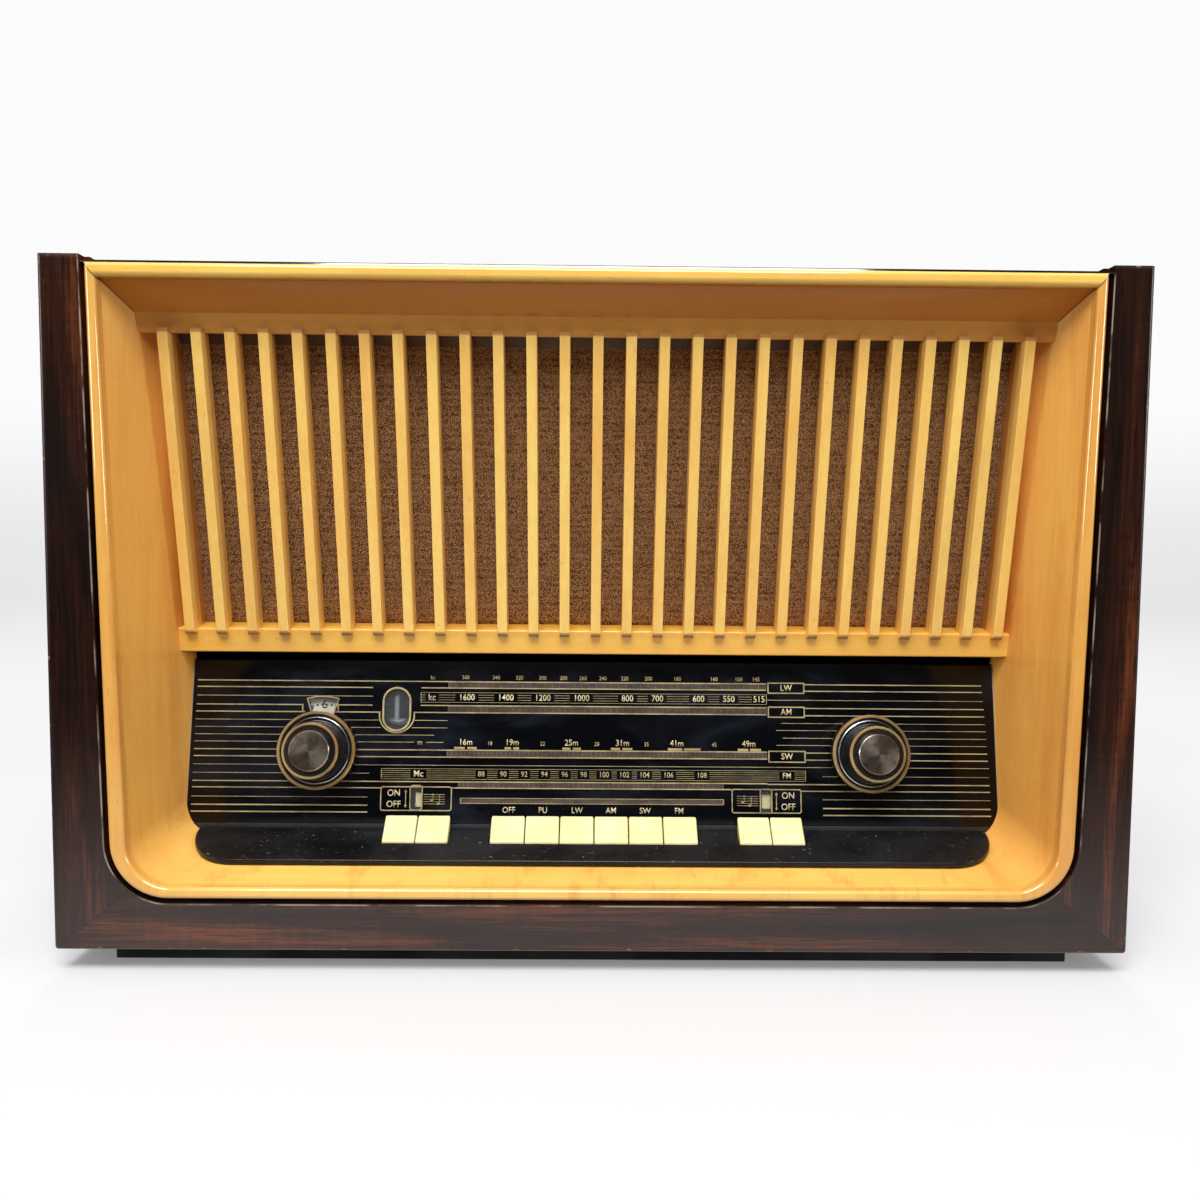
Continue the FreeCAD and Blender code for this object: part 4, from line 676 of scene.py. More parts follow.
walnut("walnut_upright", "z")
walnut("walnut_level", "x")
maple_batten("maple_slats", "z", srgb(255, 220, 122), srgb(240, 182, 92), True)
# The head rail and the side strips get darker copies of the grille's maple as painted shade, and
# the foot rail a lighter copy as painted light.
maple_batten("maple_head", "x", srgb(224, 158, 72), srgb(206, 140, 60))
maple_batten("maple_foot", "x", srgb(248, 196, 88), srgb(240, 176, 72))
maple_batten("maple_strip", "z", srgb(214, 150, 72), srgb(190, 126, 58))
maple_bezel(
    "maple_bezel",
    (srgb(248, 200, 102), srgb(236, 178, 84)),
    (srgb(234, 178, 88), srgb(219, 152, 68)),
)
maple_bezel("maple_crown", (srgb(246, 204, 100), srgb(232, 180, 82)))
gold_print("gold", srgb(192, 174, 124), srgb(146, 130, 92))
gold_print("pale_gold", srgb(226, 214, 170), srgb(170, 156, 116))
gold_print("worn_gold", srgb(112, 96, 74), srgb(72, 62, 52), 0.0)
gold_print("brown_print", srgb(74, 60, 54), srgb(48, 40, 38), 0.0)
dyed("batten", srgb(10, 10, 12), srgb(5, 5, 6), 0.7, 0.0, 120, 0.4, 0.05, Specular_IOR_Level=0.2)
clear_glass("bulb", srgb(250, 244, 226), 0.45)
clear_glass("valve", srgb(176, 186, 184), 0.55)
eye_window("eye_glass", DIAL @ Vector((*EYE[:2], 0)))
clear_glass("pane", srgb(150, 156, 160), 0.07, 0.04)
woven_cloth("cloth")
black_dial("dial_black")
ivory_moulding("ivory")
dusty_black("dusty_black")
stacked_iron("iron")
pressed_board("board")
block_board("blocks")

# Colour, its deeper shade, roughness, metal, grit, bump and dust.
DYED = {
    "knob_black": ((34, 30, 28), (16, 14, 14), 0.26, 0.0, 500, 0.1, 0.35),
    "brass": ((236, 204, 146), (190, 150, 98), 0.3, 0.75, 500, 0.2),
    "silver": ((220, 222, 226), (150, 150, 154), 0.22, 1.0, 500, 0.15),
    "steel": ((196, 196, 198), (150, 150, 152), 0.34, 1.0, 400, 0.25),
    "plated": ((196, 194, 182), (150, 147, 132), 0.4, 0.9, 200, 0.3, 0.3),
    "aluminium": ((216, 216, 218), (170, 170, 172), 0.36, 1.0, 300, 0.2),
    "screw": ((204, 204, 204), (140, 138, 132), 0.3, 1.0, 500, 0.2, 0.2),
    "disc_white": ((232, 228, 214), (214, 208, 190), 0.45, 0.0, 400, 0.1),
    "ink": ((20, 20, 22), (34, 32, 32), 0.5, 0.0, 800, 0.05),
    "red_paint": ((196, 52, 30), (150, 34, 20), 0.4, 0.0, 500, 0.1),
    "grey_paint": ((92, 92, 96), (64, 64, 68), 0.55, 0.2, 300, 0.2, 0.3),
    "basket": ((138, 138, 140), (98, 98, 100), 0.42, 0.6, 300, 0.25, 0.3),
    "felt_paper": ((66, 60, 56), (44, 40, 38), 0.9, 0.0, 300, 0.6, 0.2),
    "ferrite": ((74, 74, 76), (50, 50, 52), 0.6, 0.0, 300, 0.3),
    "rubber": ((42, 42, 42), (26, 26, 26), 0.65, 0.0, 300, 0.3, 0.2),
    "laminate": ((142, 108, 76), (112, 80, 52), 0.4, 0.0, 250, 0.2, 0.15),
}
for name, (colour, deep, *rest) in DYED.items():
    dyed(name, srgb(*colour), srgb(*deep), *rest)

for name, side in (("left", -1), ("right", 1)):
    hub = Vector((side * KNOB_SPREAD, KNOB_RISE, 0))
    face_middle, ring_middle = (DIAL @ (hub + Vector((0, 0, rise))) for rise in (30, 12))
    spun_metal("spun_" + name, srgb(196, 180, 162), srgb(116, 102, 90), face_middle)
    ribbed_black("ribbed_" + name, ring_middle)

SLOT_FINISH = {
    "walnut": "walnut_upright",
    "blockboard": "blocks",
    "black_batten": "batten",
    "maple": "maple_bezel",
    "speaker_steel": "basket",
    "speaker_paper": "felt_paper",
    "dial_print": "dial_black",
    "plate_grey": "grey_paint",
    "lamp_glass": "bulb",
    "pointer_red": "red_paint",
    "ivory": "ivory",
    "eye_glass": "eye_glass",
    "knob": "knob_black",
    "steel": "steel",
    "aerial_disc": "disc_white",
    "black_moulding": "dusty_black",
    "chassis_steel": "plated",
    "iron": "iron",
    "valve_glass": "valve",
    "can_aluminium": "aluminium",
    "ferrite": "ferrite",
    "pressboard": "board",
    "screw_steel": "screw",
    "socket_board": "laminate",
    "rubber": "rubber",
    "grille_cloth": "cloth",
}
NODE_FINISH = {
    "front_bottom_rail": "walnut_level",
    "top_panel": "walnut_level",
    "grille_slats": "maple_slats",
    "bezel_top": "maple_crown",
    "grille_strip_left": "maple_strip",
    "grille_strip_right": "maple_strip",
    "grille_top_rail": "maple_head",
    "grille_bottom_rail": "maple_foot",
}
for name, node in frame["nodes"].items():
    for held in node.material_slots:
        slot = held.material.name.split(".")[0]
        held.material = finishes[NODE_FINISH.get(name, SLOT_FINISH[slot])]


# ---------------------------------------------------------------- dial face

WINDOWS = {"left": (-119.2, -112.2, 9.1, 24.0), "right": (108.7, 115.5, 8.2, 22.9)}
FAN_HALF = 16.3  # degrees to each side
FACE_BACK, FACE_THICK = -0.1, 2.7  # from the dial's plane, and through
PAINT = 0.05


def disc(sides, radius, across=0.0, rise=0.0, turn=0.0):
    """A flat disc, or a triangle where it has three sides."""
    bpy.ops.mesh.primitive_circle_add(
        vertices=sides,
        radius=radius,
        fill_type="NGON",
        location=(across, rise, 0),
        rotation=(0, 0, turn),
    )
    return bpy.context.active_object


def oval(name, across, rise, half_width, half_height):
    """A flat upright oval with straight sides, from a disc whose halves are drawn apart."""
    disc(48, half_width, across, rise)
    piece = started(name)
    for side in (-1, 1):
        choose(piece, "verts", lambda p, s=side: p.y * s > 0.01)
        push(y=side * (half_height - half_width))
    pick_all()
    return piece


def fan(name, low, high, half):
    """A flat sector above the left knob."""
    bpy.ops.mesh.primitive_plane_add(size=2, location=(-KNOB_SPREAD, KNOB_RISE, 0))
    piece = started(name)
    shape = bmesh.from_edit_mesh(piece.data)
    for corner in shape.verts:
        reach = high if corner.co.y > 0 else low
        swing = math.radians(half) * (1 if corner.co.x > 0 else -1)
        corner.co = (reach * math.sin(swing), reach * math.cos(swing), 0)
    bmesh.update_edit_mesh(piece.data)
    choose(piece, "edges", lambda p: abs(p.x) < 0.1)
    bpy.ops.mesh.subdivide(number_cuts=7)
    shape = bmesh.from_edit_mesh(piece.data)
    for corner in shape.verts:
        reach = high if corner.co.y > (low + high) / 2 else low
        corner.co = corner.co.normalized() * reach
    bmesh.update_edit_mesh(piece.data)
    pick_all()
    return piece


def panel(name, left, right, low, high):
    bpy.ops.mesh.primitive_plane_add(size=1, location=((left + right) / 2, (low + high) / 2, 0))
    piece = started(name)
    bpy.ops.transform.resize(value=(right - left, high - low, 1))
    return piece


def round_corners(offset, segments=3):
    bpy.ops.mesh.bevel(offset=offset, segments=segments, affect="VERTICES")
    pick_all()


def as_edge(piece, width, bevel=0.0):
    """Leaves only a border of the flat shape, of that width."""
    if bevel:
        round_corners(bevel)
    bpy.ops.mesh.inset(thickness=width, depth=0)
    bpy.ops.mesh.delete(type="FACE")
    stop_editing()
    return piece


def as_cutter(piece, bevel=0.0):
    """Draws the flat shape out to both sides."""
    if bevel:
        round_corners(bevel)
    push(z=-10)
    draw_out(z=20)
    face_outwards()
    stop_editing()
    return piece


def cut(piece, cutter):
    settle(cutter)
    apply_modifier(piece, "BOOLEAN", operation="DIFFERENCE", object=cutter, solver="EXACT")
    bpy.data.objects.remove(cutter)


face = panel("dial_face", -264.3, 264.3, 0.1, 105.5)
draw_out(z=-FACE_THICK)
face_outwards()
choose(face, "edges", lambda p: p.z > -0.1)
bpy.ops.mesh.bevel(offset=0.5, segments=2)
stop_editing()
settle(face, Matrix.Translation((0, 0, FACE_BACK)))
for cutter in (
    as_cutter(oval("cut_eye", *EYE)),
    as_cutter(fan("cut_fan", 20, 34.4, FAN_HALF)),
    as_cutter(panel("cut_left", *WINDOWS["left"]), 1.4),
    as_cutter(panel("cut_right", *WINDOWS["right"]), 1.4),
):
    cut(face, cutter)
settle(face, DIAL)
smooth_below(30)
dressed(face, "cabinet", "dial_print", "dial_black", "dial_glass")

seat = block("dial_seat", (0, 56.6, 58.9), (520, 1.4, 4.0))
bpy.ops.mesh.bevel(offset=0.3, segments=2)
close_up(seat, CABINET)
dressed(seat, "cabinet", "black_moulding", "rubber")


# ---------------------------------------------------------------- dial print


def bars(name, rows):
    """Flat bars of (left, right, height up the face, width) in one mesh."""
    piece = None
    for left, right, rise, width in rows:
        middle = ((left + right) / 2, rise, 0)
        bpy.ops.mesh.primitive_plane_add(size=1, location=middle)
        if piece is None:
            piece = started(name)
        bpy.ops.transform.resize(value=(right - left, width, 1), center_override=middle)
    stop_editing()
    return piece


def split(left, right, rise, width, gaps):
    """One ruled line as bars between gaps of (middle, half width)."""
    rows, start = [], left
    for middle, half in sorted(gaps):
        rows.append((start, middle - half, rise, width))
        start = middle + half
    rows.append((start, right, rise, width))
    return rows


def lettering(text, size, bold, place=(0, 0, 0), squeeze=1.0):
    """One flat line of lettering about its middle."""
    bpy.ops.object.text_add(location=place)
    line = bpy.context.active_object
    line.data.body = text
    line.data.size = size
    line.data.offset = bold
    line.data.align_x = line.data.align_y = "CENTER"
    line.data.resolution_u = 3
    line.scale = (squeeze, 1, 1)
    bpy.ops.object.convert(target="MESH")
    return bpy.context.active_object


def words(name, marks):
    """Lettering of (text, across, rise, height) as one flat mesh."""
    made = [
        lettering(text, height / 0.70, 0.012 * height, (across, rise, 0), 0.9)
        for text, across, rise, height in marks
    ]
    return joined(made, name)


def ticks(name, left, right, low, high, count, width):
    """A row of upright ticks from one bar and an array."""
    piece = bars(name, [(left, left + width, (low + high) / 2, high - low)])
    settle(piece)
    apply_modifier(
        piece,
        "ARRAY",
        count=count,
        use_relative_offset=False,
        use_constant_offset=True,
        constant_offset_displace=((right - left - width) / (count - 1), 0, 0),
    )
    return piece


def printed(pieces, name, finish, lift=0.0):
    """Joins flat print, gives it the thickness of paint and lays it on the face."""
    piece = joined(pieces, name)
    settle(piece)
    apply_modifier(piece, "SOLIDIFY", thickness=PAINT, offset=1)
    settle(piece, DIAL @ Matrix.Translation((0, 0, FACE_BACK + lift)))
    dressed(piece, "cabinet", "dial_print", finish)


EDGE, SCALE_LEFT, SCALE_RIGHT = 261.0, -96.5, 113.2
KC = [(1600, -84.2), (1400, -58.6), (1200, -34.3), (1000, -8.8), (800, 21.5), (700, 41.2),
      (600, 68.4), (550, 88.4), (515, 108.4)]
MC = [(88, -73.7), (90, -59.4), (92, -45.7), (94, -32.6), (96, -19.3), (98, -7.0), (100, 6.3),
      (102, 19.6), (104, 32.8), (106, 48.5), (108, 70.3)]
LONG = [(360, -85.3), (340, -65.1), (320, -49.8), (300, -34.6), (280, -20.8), (260, -7.9),
        (240, 5.2), (220, 19.6), (200, 35.3), (180, 54.4), (160, 78.7), (150, 95.0), (145, 106.5)]
METRES = [(16, -84.3), (19, -53.9), (25, -15.1), (31, 18.3), (41, 54.0), (49, 101.3)]
SMALL_METRES = [(18, -68.6), (22, -34.0), (28, 1.5), (35, 34.0), (45, 78.6)]
BLOCKS = [(-91.8, -84.9), (-83.2, -77.1), (-58.7, -54.6), (-53.2, -49.4), (-21.2, -15.8),
          (-14.2, -9.0), (10.7, 16.8), (18.3, 24.8), (48.1, 57.5), (58.7, 69.6), (93.9, 100.8),
          (102.0, 109.2)]

# Ruled lines: left, right, rise, width.
lines = [
    (-EDGE, -96.5, 91.9, 0.7), (-EDGE, -146, 87.7, 0.7), (-EDGE, -146, 82.0, 0.4),
    (-EDGE, -191.4, 76.2, 0.7), (-168.6, -146, 76.2, 0.7), (-EDGE, -190, 71.6, 0.7),
    (-170, -141.4, 71.6, 0.7), (-118.6, SCALE_LEFT, 71.6, 0.7), (-EDGE, -141.6, 66.4, 0.4),
    (-118.4, SCALE_LEFT, 66.4, 0.4), (-EDGE, -140.2, 61.6, 0.4), (-119.8, SCALE_LEFT, 61.6, 0.4),
    (-EDGE, -105, 56.8, 0.4), (-EDGE, -118, 52.2, 0.4), (-110, -99, 52.2, 0.4),
    (-EDGE, SCALE_LEFT, 47.2, 0.7), (-EDGE, SCALE_LEFT, 42.7, 0.7), (-EDGE, EDGE - 2, 37.4, 0.36),
    (-EDGE, -146.5, 32.0, 0.36), (-EDGE, SCALE_LEFT, 26.8, 0.7), (-EDGE, -138.9, 22.7, 0.7),
    (-EDGE, -147, 16.8, 0.36), (-EDGE, -147, 11.6, 0.8), (-EDGE, -147, 7.2, 0.8),
    (-114.3, SCALE_LEFT, 87.7, 0.7), (-114.3, SCALE_LEFT, 76.2, 0.7),
    (-92.5, SCALE_LEFT + 6, 22.9, 0.8), (138.3, 256, 91.5, 0.7), (138.3, 256.4, 87.2, 0.7),
    (113.8, 256.6, 81.2, 0.36), (138.3, 257, 75.9, 0.7), (138.3, 257.2, 71.1, 0.7),
    (122.6, 257.4, 66.0, 0.36), (119.4, 257.6, 61.4, 0.36), (123.7, 257.8, 56.4, 0.36),
    (119.6, 258, 51.7, 0.36), (138.3, 258.2, 46.8, 0.7), (138.3, 258.4, 42.2, 0.7),
    (149.5, 258.6, 31.6, 0.36), (SCALE_RIGHT, 258.8, 26.4, 0.7), (135.3, 259, 22.1, 0.7),
    (149.2, 259, 16.7, 0.36), (149.2, 259, 11.1, 0.8), (149.2, 259, 6.7, 0.8),
]
for rise in (91.8, 87.7, 76.1, 71.6, 47.2, 42.7, 26.8):
    lines.append((SCALE_LEFT, SCALE_RIGHT, rise, 0.8))
lines.append((-92.5, 89.6, 22.9, 0.8))
kc_gaps = [(-107.1, 4.4)] + [(x, 1.9 + 1.45 * len(str(n))) for n, x in KC[:-1]]
for rise in (84.7, 83.1, 81.5, 79.9, 78.3):
    short = 9.5 if 78.3 < rise < 84.3 else 0
    lines += split(
        -114.3, SCALE_RIGHT - short, rise, 0.24, kc_gaps if 78.3 < rise < 84.7 else []
    )
lines += [(-114.5, -114.1, 81.5, 6.7), (SCALE_RIGHT - 0.2, SCALE_RIGHT + 0.2, 81.5, 6.7)]
mc_gaps = [(-114.6, 5.2)] + [(x, 1.5 + 1.15 * len(str(n))) for n, x in MC] + [(126.0, 5.0)]
for rise in (35.1, 33.8, 32.5, 31.1, 29.8, 28.5):
    lines += split(-138.7, 138.2, rise, 0.24, mc_gaps if 28.5 < rise < 35.1 else [])
lines += [(-138.9, -138.5, 31.8, 6.9), (138.0, 138.4, 31.8, 6.9)]
lines += [(left, right, 48.6, 1.5) for left, right in BLOCKS]
for left, right in ((-110.8, -97.0), (93.0, 107.0)):
    lines += [(left, right, 12.6 + 1.5 * step, 0.28) for step in range(5)]
lines += [(-122.7, -122.2, 15.9, 9.0), (118.6, 119.1, 15.5, 9.0), (-100.6, -100.2, 15.6, 6.4),
          (-104.9, -104.5, 17.0, 4.6), (102.2, 102.6, 15.6, 6.4), (97.6, 98.0, 17.0, 4.6)]
rules = bars("rules", lines)


def arrow_heads(across, low, high):
    return [disc(3, 1.1, across, high), disc(3, 1.1, across, low, math.pi)]


def note_heads(*spots):
    made = [disc(16, 0.85, across, rise) for across, rise in spots]
    for head in made:
        head.scale = (1.25, 0.85, 1)
    return made


borders = [
    as_edge(panel("b1", 114.0, 138.5, 85.4, 92.8), 0.8),
    as_edge(panel("b2", 114.0, 138.5, 69.6, 77.0), 0.8),
    as_edge(panel("b3", 114.0, 138.5, 40.4, 48.2), 0.8),
    as_edge(panel("b4", -138.9, -92.5, 8.0, 23.8), 0.7, 1.6),
    as_edge(panel("b5", 89.6, 135.3, 7.7, 23.4), 0.7, 1.6),
    as_edge(panel("b6", -119.9, -111.5, 8.4, 24.7), 0.65, 1.9),
    as_edge(panel("b7", 108.0, 116.2, 7.5, 23.6), 0.65, 1.9),
    as_edge(oval("b8", EYE[0], EYE[1], EYE[2] + 1.35, EYE[3] + 1.35), 1.25),
    as_edge(fan("b9", 22.0, 35.3, FAN_HALF + 1.5), 0.8),
    as_edge(panel("b10", -87.1, 84.6, 12.9, 16.6), 0.45),
]
cup = as_edge(oval("cup", EYE[0] + 0.2, EYE[1], 11.9, 15.8), 0.95)
bpy.ops.object.mode_set(mode="EDIT")
pick_all()
bpy.ops.mesh.bisect(plane_co=(0, 72.0, 0), plane_no=(0, 1, 0), clear_outer=True)
stop_editing()
steps = bars("steps", [(-192.0, -191.2, 73.9, 5.4), (-168.8, -168.0, 73.9, 5.4)])
arrows = arrow_heads(-122.45, 11.2, 20.6) + arrow_heads(118.85, 10.8, 20.2)
notes = note_heads((-101.3, 12.8), (-105.6, 15.0), (101.5, 12.8), (96.9, 15.0))
printed([rules, cup, steps] + borders + arrows + notes, "dial_lines", "gold")
marks = [(str(n), x, 81.5, 4.1) for n, x in KC]
marks += [("kc", -107.1, 81.4, 4.3), ("Mc", -114.6, 31.8, 4.2)]
marks += [("%dm" % n, x, 52.3, 4.0) for n, x in METRES]
marks += [
    ("OFF", -130.2, 12.2, 4.2), ("ON", -130.2, 19.4, 4.2),
    ("OFF", 126.6, 11.8, 4.2), ("ON", 126.6, 19.0, 4.2),
    ("LW", 126.3, 89.1, 4.0), ("AM", 126.3, 73.3, 4.0),
    ("SW", 126.3, 44.3, 4.0), ("FM", 126.0, 31.8, 3.6),
]
for index, text in enumerate(("OFF", "PU", "LW", "AM", "SW", "FM")):
    marks.append((text, -55.4 + KEY_PITCH * index, 8.8, 3.8))
printed([words("marks", marks)], "dial_numbers", "pale_gold")
faint = [(str(n), x, 94.6, 2.6) for n, x in LONG]
faint += [("kc", -106.8, 94.4, 2.6), ("m", -114.2, 52.0, 3.4)]
faint += [(str(n), x, 51.6, 2.6) for n, x in SMALL_METRES]
faint += [(str(n), x, 31.8, 3.5) for n, x in MC]
printed([words("faint", faint)], "dial_small_numbers", "gold")
# Strips: left, right, the strip's rise and width, its ticks' low and high ends, count and width.
STRIPS = [
    (SCALE_LEFT, SCALE_RIGHT, 89.75, 3.4, 88.4, 91.0, 44, 0.45),
    (SCALE_LEFT, SCALE_RIGHT, 73.85, 3.8, 72.4, 75.2, 50, 0.45),
    (SCALE_LEFT, SCALE_RIGHT, 44.95, 3.8, 43.5, 46.4, 72, 0.45),
    (SCALE_LEFT + 8, 84.5, 24.85, 3.2, 23.6, 26.0, 54, 0.45),
    (-86.6, 84.1, 14.75, 2.9, 13.4, 15.4, 100, 0.6),
]
printed([bars("shades", [strip[:4] for strip in STRIPS])], "dial_strips", "brown_print")
rows = [ticks("ticks", *strip[:2], *strip[4:]) for strip in STRIPS]
printed(rows, "dial_ticks", "worn_gold", 0.03)

PANE_GAP, PANE_BACK, PANE_THICK = 0.05, -0.6, 1.2


def pane(piece):
    """Makes a window pane, just behind the face, of the flat shape."""
    draw_out(z=-PANE_THICK)
    close_up(piece, DIAL @ Matrix.Translation((0, 0, PANE_BACK)))
    dressed(piece, "cabinet", "dial_print", "pane")


for side, (left, right, low, high) in WINDOWS.items():
    glass = panel(
        "register_pane_" + side, left + PANE_GAP, right - PANE_GAP, low + PANE_GAP, high - PANE_GAP
    )
    round_corners(1.4)
    pane(glass)
pane(oval("eye_pane", EYE[0], EYE[1], EYE[2] - PANE_GAP, EYE[3] - PANE_GAP))
pane(fan("aerial_pane", 20.1, 34.3, FAN_HALF - 0.1))


NUMBER_RING, NUMBER_STEP = 29.6, 18  # radius, and degrees from one to the next


def on_disc(piece, degrees):
    """Moves a mark out to the ring of numbers and round it."""
    turn = Matrix.Rotation(math.radians(-degrees), 4, "Z")
    piece.data.transform(turn @ Matrix.Translation((0, NUMBER_RING, 0)))
    return piece


made = []
for step in range(-5, 6):
    middle = NUMBER_STEP * step
    made.append(on_disc(lettering(str(step + 6), 8, 0.12), middle))
    for radius, offset in ((0.8, 9), (0.45, -14.2), (0.45, 14.2)):
        made.append(on_disc(disc(12, radius), middle + offset))
numbers = joined(made, "aerial_numbers")
settle(numbers)
apply_modifier(numbers, "SOLIDIFY", thickness=PAINT, offset=1)
settle(numbers, DIAL @ Matrix.Translation((-KNOB_SPREAD, KNOB_RISE, -4.4)))
dressed(numbers, "aerial_ring", "aerial_disc", "ink")


# ---------------------------------------------------------------- knobs

# Profiles of (radius, height over the dial).
RING = [(5, 2), (23.6, 2), (24.6, 3), (24.9, 11.4), (23.6, 12.6), (22.4, 12.4), (21.3, 11.8),
        (20.0, 11.9), (5, 12.4), (5, 2)]
RING_RIM = [(24.9, 11.2), (25, 13.2), (24.4, 14), (23.4, 14), (22.9, 13.2), (23.4, 12.2),
            (24.9, 11.2)]
RING_LINE = [(20.3, 11.7), (21.4, 11.7), (21.4, 12.6), (20.9, 12.9), (20.3, 12.6), (20.3, 11.7)]
GRIP = [(3, 15), (16.0, 15), (16.8, 16), (17.6, 25.8), (16.9, 27.2), (15.9, 27.4), (13.4, 26.6),
        (3, 26.4), (3, 15)]
GRIP_RIM = [(17.55, 25.6), (17.75, 27.2), (17.2, 28), (16.3, 28), (15.9, 27.2), (16.6, 26.4),
            (17.55, 25.6)]
GRIP_FACE = [(3, 26.0), (12.7, 26.0), (12.7, 29.6), (12.2, 30.0), (9, 30.12), (5, 30.26), (2, 30.4),
             (0, 30.45)]


for tag, side, ring, grip, ring_node, grip_node in (
    ("_left", -1, "aerial_ring", "volume_control", "aerial_knob", "volume_knob"),
    ("_right", 1, "fm_tuning", "am_tuning", "fm_tuning_knob", "am_tuning_knob"),
):
    hub = DIAL @ Matrix.Translation((side * KNOB_SPREAD, KNOB_RISE, 0))
    for name, profile, body, finish, *node in (
        ("ring_body", RING, ring, "ribbed" + tag, ring_node),
        ("ring_rim", RING_RIM, ring, "brass"),
        ("ring_line", RING_LINE, ring, "silver"),
        ("grip_body", GRIP, grip, "knob_black", grip_node),
        ("grip_rim", GRIP_RIM, grip, "brass"),
        ("grip_face", GRIP_FACE, grip, "spun" + tag),
    ):
        dressed(close_up(turned(name + tag, profile), hub, 30), body, "knob", finish, *node)


# ---------------------------------------------------------------- keys

# Name, left end, pitch.
KEYS = [
    ("solo_key", -134.7, PAIR_PITCH), ("bass_key", -113.6, PAIR_PITCH),
    ("off_key", -66.45, KEY_PITCH), ("gram_key", -44.3, KEY_PITCH),
    ("long_wave_key", -22.15, KEY_PITCH), ("medium_wave_key", 0.0, KEY_PITCH),
    ("short_wave_key", 22.15, KEY_PITCH), ("fm_key", 44.3, KEY_PITCH),
    ("bright_key", 92.5, PAIR_PITCH), ("soft_key", 113.6, PAIR_PITCH),
]
PIVOT, BORE, BOSS = (115, 52), 2.06, 4.6  # depth and height of the keys' rod, radii round it


def key_cap(width):
    """One key about its middle: a cap that slopes up to its back, and the lever behind it."""
    piece = block("key_cap", (0, 47.8, 52.2), (width, 14.4, 4.0))
    choose(piece, "verts", lambda p: p.y > 0 and p.z > 0)
    push(z=12.6)
    choose(piece, "edges", lambda p: p.z > 1.5 or p.y < -7 or abs(p.x) > width / 2 - 0.1)
    bpy.ops.mesh.bevel(offset=0.9, segments=4, profile=0.6)
    choose(piece, "faces", lambda c, n: n.y > 0.9 and abs(c.x) < 2)
    bpy.ops.mesh.inset(thickness=0.5)
    stop_editing()
    lever = block("key_lever", (0, 84.2, 53.3), (6, 62.4, 5.4))
    bpy.ops.mesh.bevel(offset=0.3, segments=1)
    stop_editing()
    bpy.ops.mesh.primitive_circle_add(
        vertices=32, radius=BORE, location=(-3, *PIVOT), rotation=(0, math.pi / 2, 0)
    )
    boss = started("key_boss")
    for side, ratio in ((-3, BOSS / BORE), (3, BORE / BOSS)):
        bpy.ops.mesh.extrude_region_move()
        bpy.ops.transform.resize(value=(1, ratio, ratio), center_override=(side, *PIVOT))
        draw_out(x=-2 * side)
    stop_editing()
    made = joined([piece, lever, boss], "key_%d" % width)
    bpy.ops.object.mode_set(mode="EDIT")
    return close_up(made, smooth=40)


patterns = {pitch: key_cap(pitch - 0.7) for pitch in (PAIR_PITCH, KEY_PITCH)}
for name, left, pitch in KEYS:
    middle = Matrix.Translation((left + pitch / 2, 0, 0))
    cap = copied(patterns[pitch], name + "_cap", CABINET @ middle)
    dressed(cap, name, "ivory", "ivory", name)
for pattern in patterns.values():
    bpy.data.objects.remove(pattern)


# ---------------------------------------------------------------- ledge

LEDGE_FOOT, LEDGE_HEAD = Vector((0, 23, 47.4)), Vector((0, 55.7, 58.6))
_, run, climb = LEDGE_HEAD - LEDGE_FOOT
LEDGE_LONG = math.hypot(run, climb)
LEDGE = CABINET @ Matrix.Translation(LEDGE_FOOT) @ Matrix.Rotation(math.atan2(climb, run), 4, "X")
ledge = panel("ledge_cover", -254.5, 254.5, 0, LEDGE_LONG)
choose(ledge, "verts", lambda p: p.y < 0)
round_corners(31, 14)
choose(ledge, "verts", lambda p: p.y > LEDGE_LONG / 2 - 0.1)
round_corners(3, 4)
draw_out(z=-3.4)
choose(ledge, "edges", lambda p: p.z > -0.1)
bpy.ops.mesh.bevel(offset=1.1, segments=4)
face_outwards()
stop_editing()
settle(ledge)
for left, right in ((-135.5, -91.7), (-67.25, 67.25), (91.7, 135.5)):
    cut(ledge, as_cutter(panel("notch", left, right, 17.75, 60)))
settle(ledge, LEDGE)
smooth_below(32)
dressed(ledge, "cabinet", "black_moulding", "dusty_black", "key_ledge")


# ---------------------------------------------------------------- cloth

bpy.ops.mesh.primitive_grid_add(x_subdivisions=80, y_subdivisions=28, size=1)
cloth = started("grille_cloth")
bpy.ops.transform.resize(value=(530, 189, 1))
stop_editing()
settle(cloth)
ripple = bpy.data.textures.new("cloth_ripple", "CLOUDS")
ripple.noise_scale = 60
apply_modifier(cloth, "DISPLACE", texture=ripple, strength=0.35, mid_level=0.5)
apply_modifier(cloth, "SOLIDIFY", thickness=0.5, offset=0)
settle(cloth, GRILLE @ Matrix.Translation((0, -103.3, -15.55)))
bpy.ops.object.shade_smooth()
dressed(cloth, "cabinet", "grille_cloth", "cloth", "speaker_cloth")


# ---------------------------------------------------------------- floor, light and camera


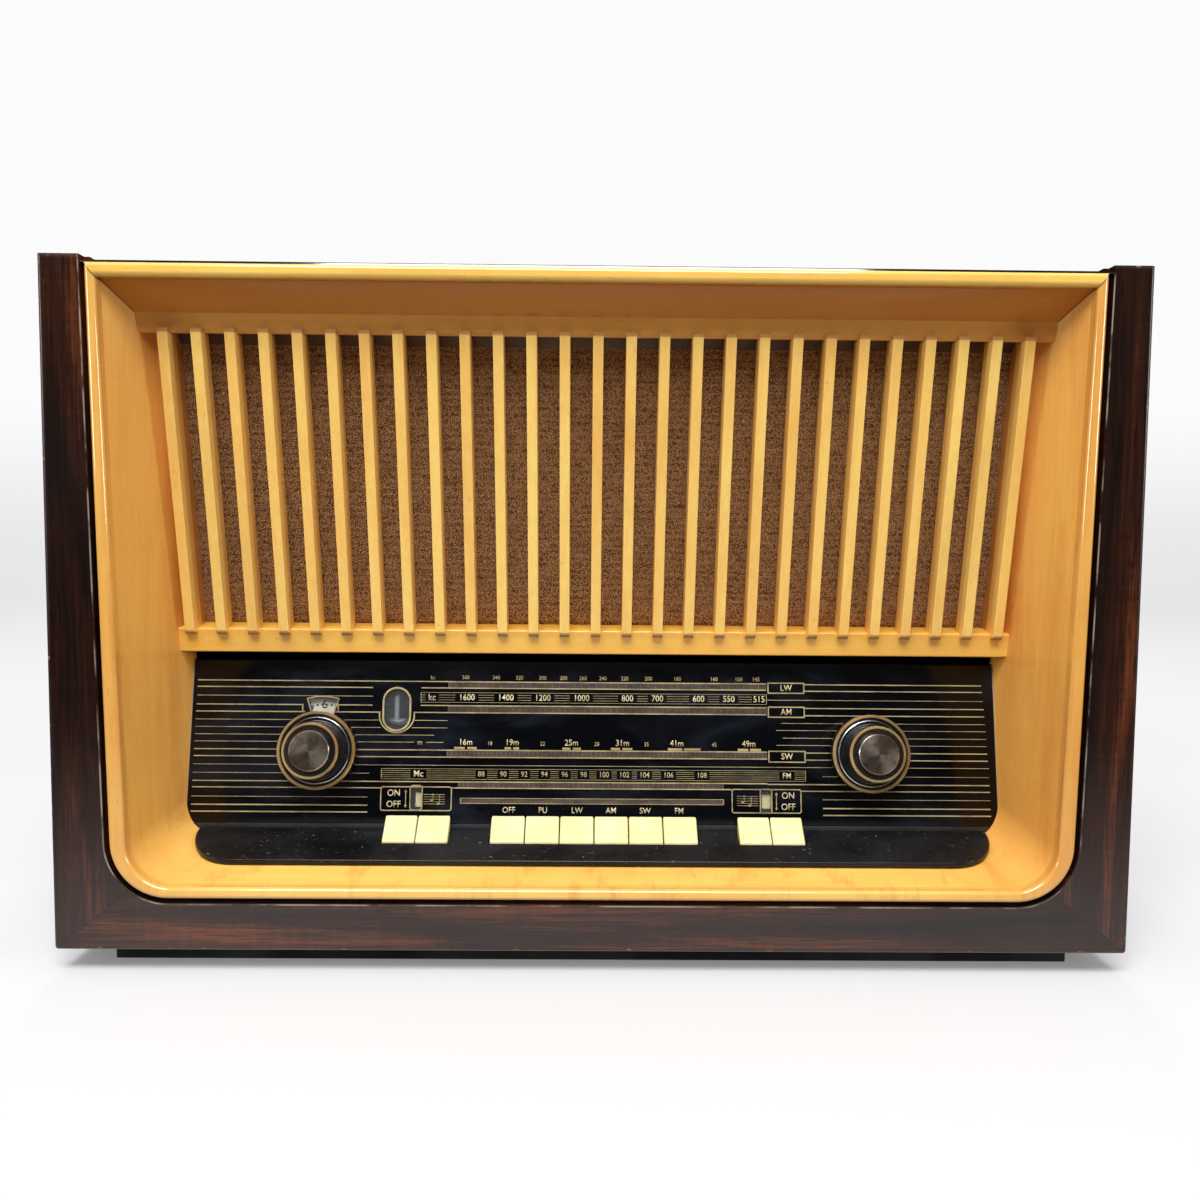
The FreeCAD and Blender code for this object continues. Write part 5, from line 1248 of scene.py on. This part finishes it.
def pale(name, colour, shown):
    """A stage surface: plain to the lamps, lighter to the eye, and still darkened by shadow."""
    f = Finish(name)
    eye, gloss, glass = (
        f.node("ShaderNodeLightPath", out=kind + " Ray")
        for kind in ("Is Camera", "Is Glossy", "Is Transmission")
    )
    away = f.away((0, 0, 0))
    mirrored = gloss.most(glass) * f.fade(away, 0.36, 0.66, 1.0, 0.0)
    share = f.fade(f.axis("Z"), 0, 1.0, f.fade(away, 0.4, 1.3, 0.15, 0.7), 0.97)
    seen = mirrored.most(eye * share)
    lit = f.blend(f.fade(away, 0.5, 1.1), colour, srgb(56, 56, 58))
    matt = f.node("ShaderNodeBsdfDiffuse", {}, {"Color": f.blend(eye, lit, srgb(217, 217, 219))})
    glow = f.node("ShaderNodeEmission", {}, {"Color": shown, "Strength": 1.0})
    f.end_in(f.node("ShaderNodeMixShader", {}, {0: seen, 1: matt, 2: glow}))


floor = panel("floor", -7, 7, -4.5, 4.5)
choose(floor, "edges", lambda p: p.y > 4)
draw_out(z=7)
choose(floor, "edges", lambda p: p.y > 4 and p.z < 0.1)
bpy.ops.mesh.bevel(offset=1.6, segments=16)
stop_editing()
settle(floor)
bpy.ops.object.shade_smooth()
pale("floor_paint", srgb(148, 148, 150), srgb(254, 254, 255))
floor.data.materials.append(finishes["floor_paint"])


def lamp(name, spot, aim, size, power):
    bpy.ops.object.light_add(type="AREA", location=spot)
    made = bpy.context.active_object
    made.name = name
    made.data.shape = "RECTANGLE"
    made.data.size, made.data.size_y = size
    made.data.energy = power
    made.rotation_euler = (Vector(aim) - Vector(spot)).to_track_quat("-Z", "Y").to_euler()


lamp("key_light", (-0.15, -1.55, 2.2), (0, 0, 0.2), (1.7, 0.9), 72)
lamp("left_light", (-2.2, -1.3, 0.7), (0, 0, 0.2), (0.5, 0.6), 16)
lamp("right_light", (2.2, -1.3, 0.7), (0, 0, 0.2), (0.5, 0.6), 17)
lamp("back_light", (0, 1.9, 2.4), (0, 0.1, 0.2), (1.8, 1.0), 26)


# The room is bright overhead and dim at eye level.
room = Finish("room", "World")
rise = room.axis("Z", room.node("ShaderNodeTexCoord", out="Generated"))
light = room.fade(rise, 0.35, 0.95, 0.07, 0.8)
eye = room.node("ShaderNodeLightPath", out="Is Camera Ray")
glow = {"Color": (1, 1, 1, 1), "Strength": light.most(eye)}
room.end_in(room.node("ShaderNodeBackground", {}, glow))
bpy.context.scene.world = finishes["room"]

pitch, yaw, roll = (math.radians(angle) for angle in (3.61, 0.61, 0.497))
ahead = Vector((math.sin(yaw) * math.cos(pitch), math.cos(yaw) * math.cos(pitch), -math.sin(pitch)))
level = Vector((math.cos(yaw), -math.sin(yaw), 0))
upright = level.cross(ahead)
right = level * math.cos(roll) + upright * math.sin(roll)
up = upright * math.cos(roll) - level * math.sin(roll)
bpy.ops.object.camera_add(location=(-0.00413, -0.72265, 0.26179))
camera = bpy.context.active_object
camera.rotation_euler = Matrix((right, up, -ahead)).transposed().to_euler()
camera.data.lens = 30
camera.data.sensor_width = 36
bpy.context.scene.camera = camera
bpy.context.scene.view_settings.view_transform = "Standard"
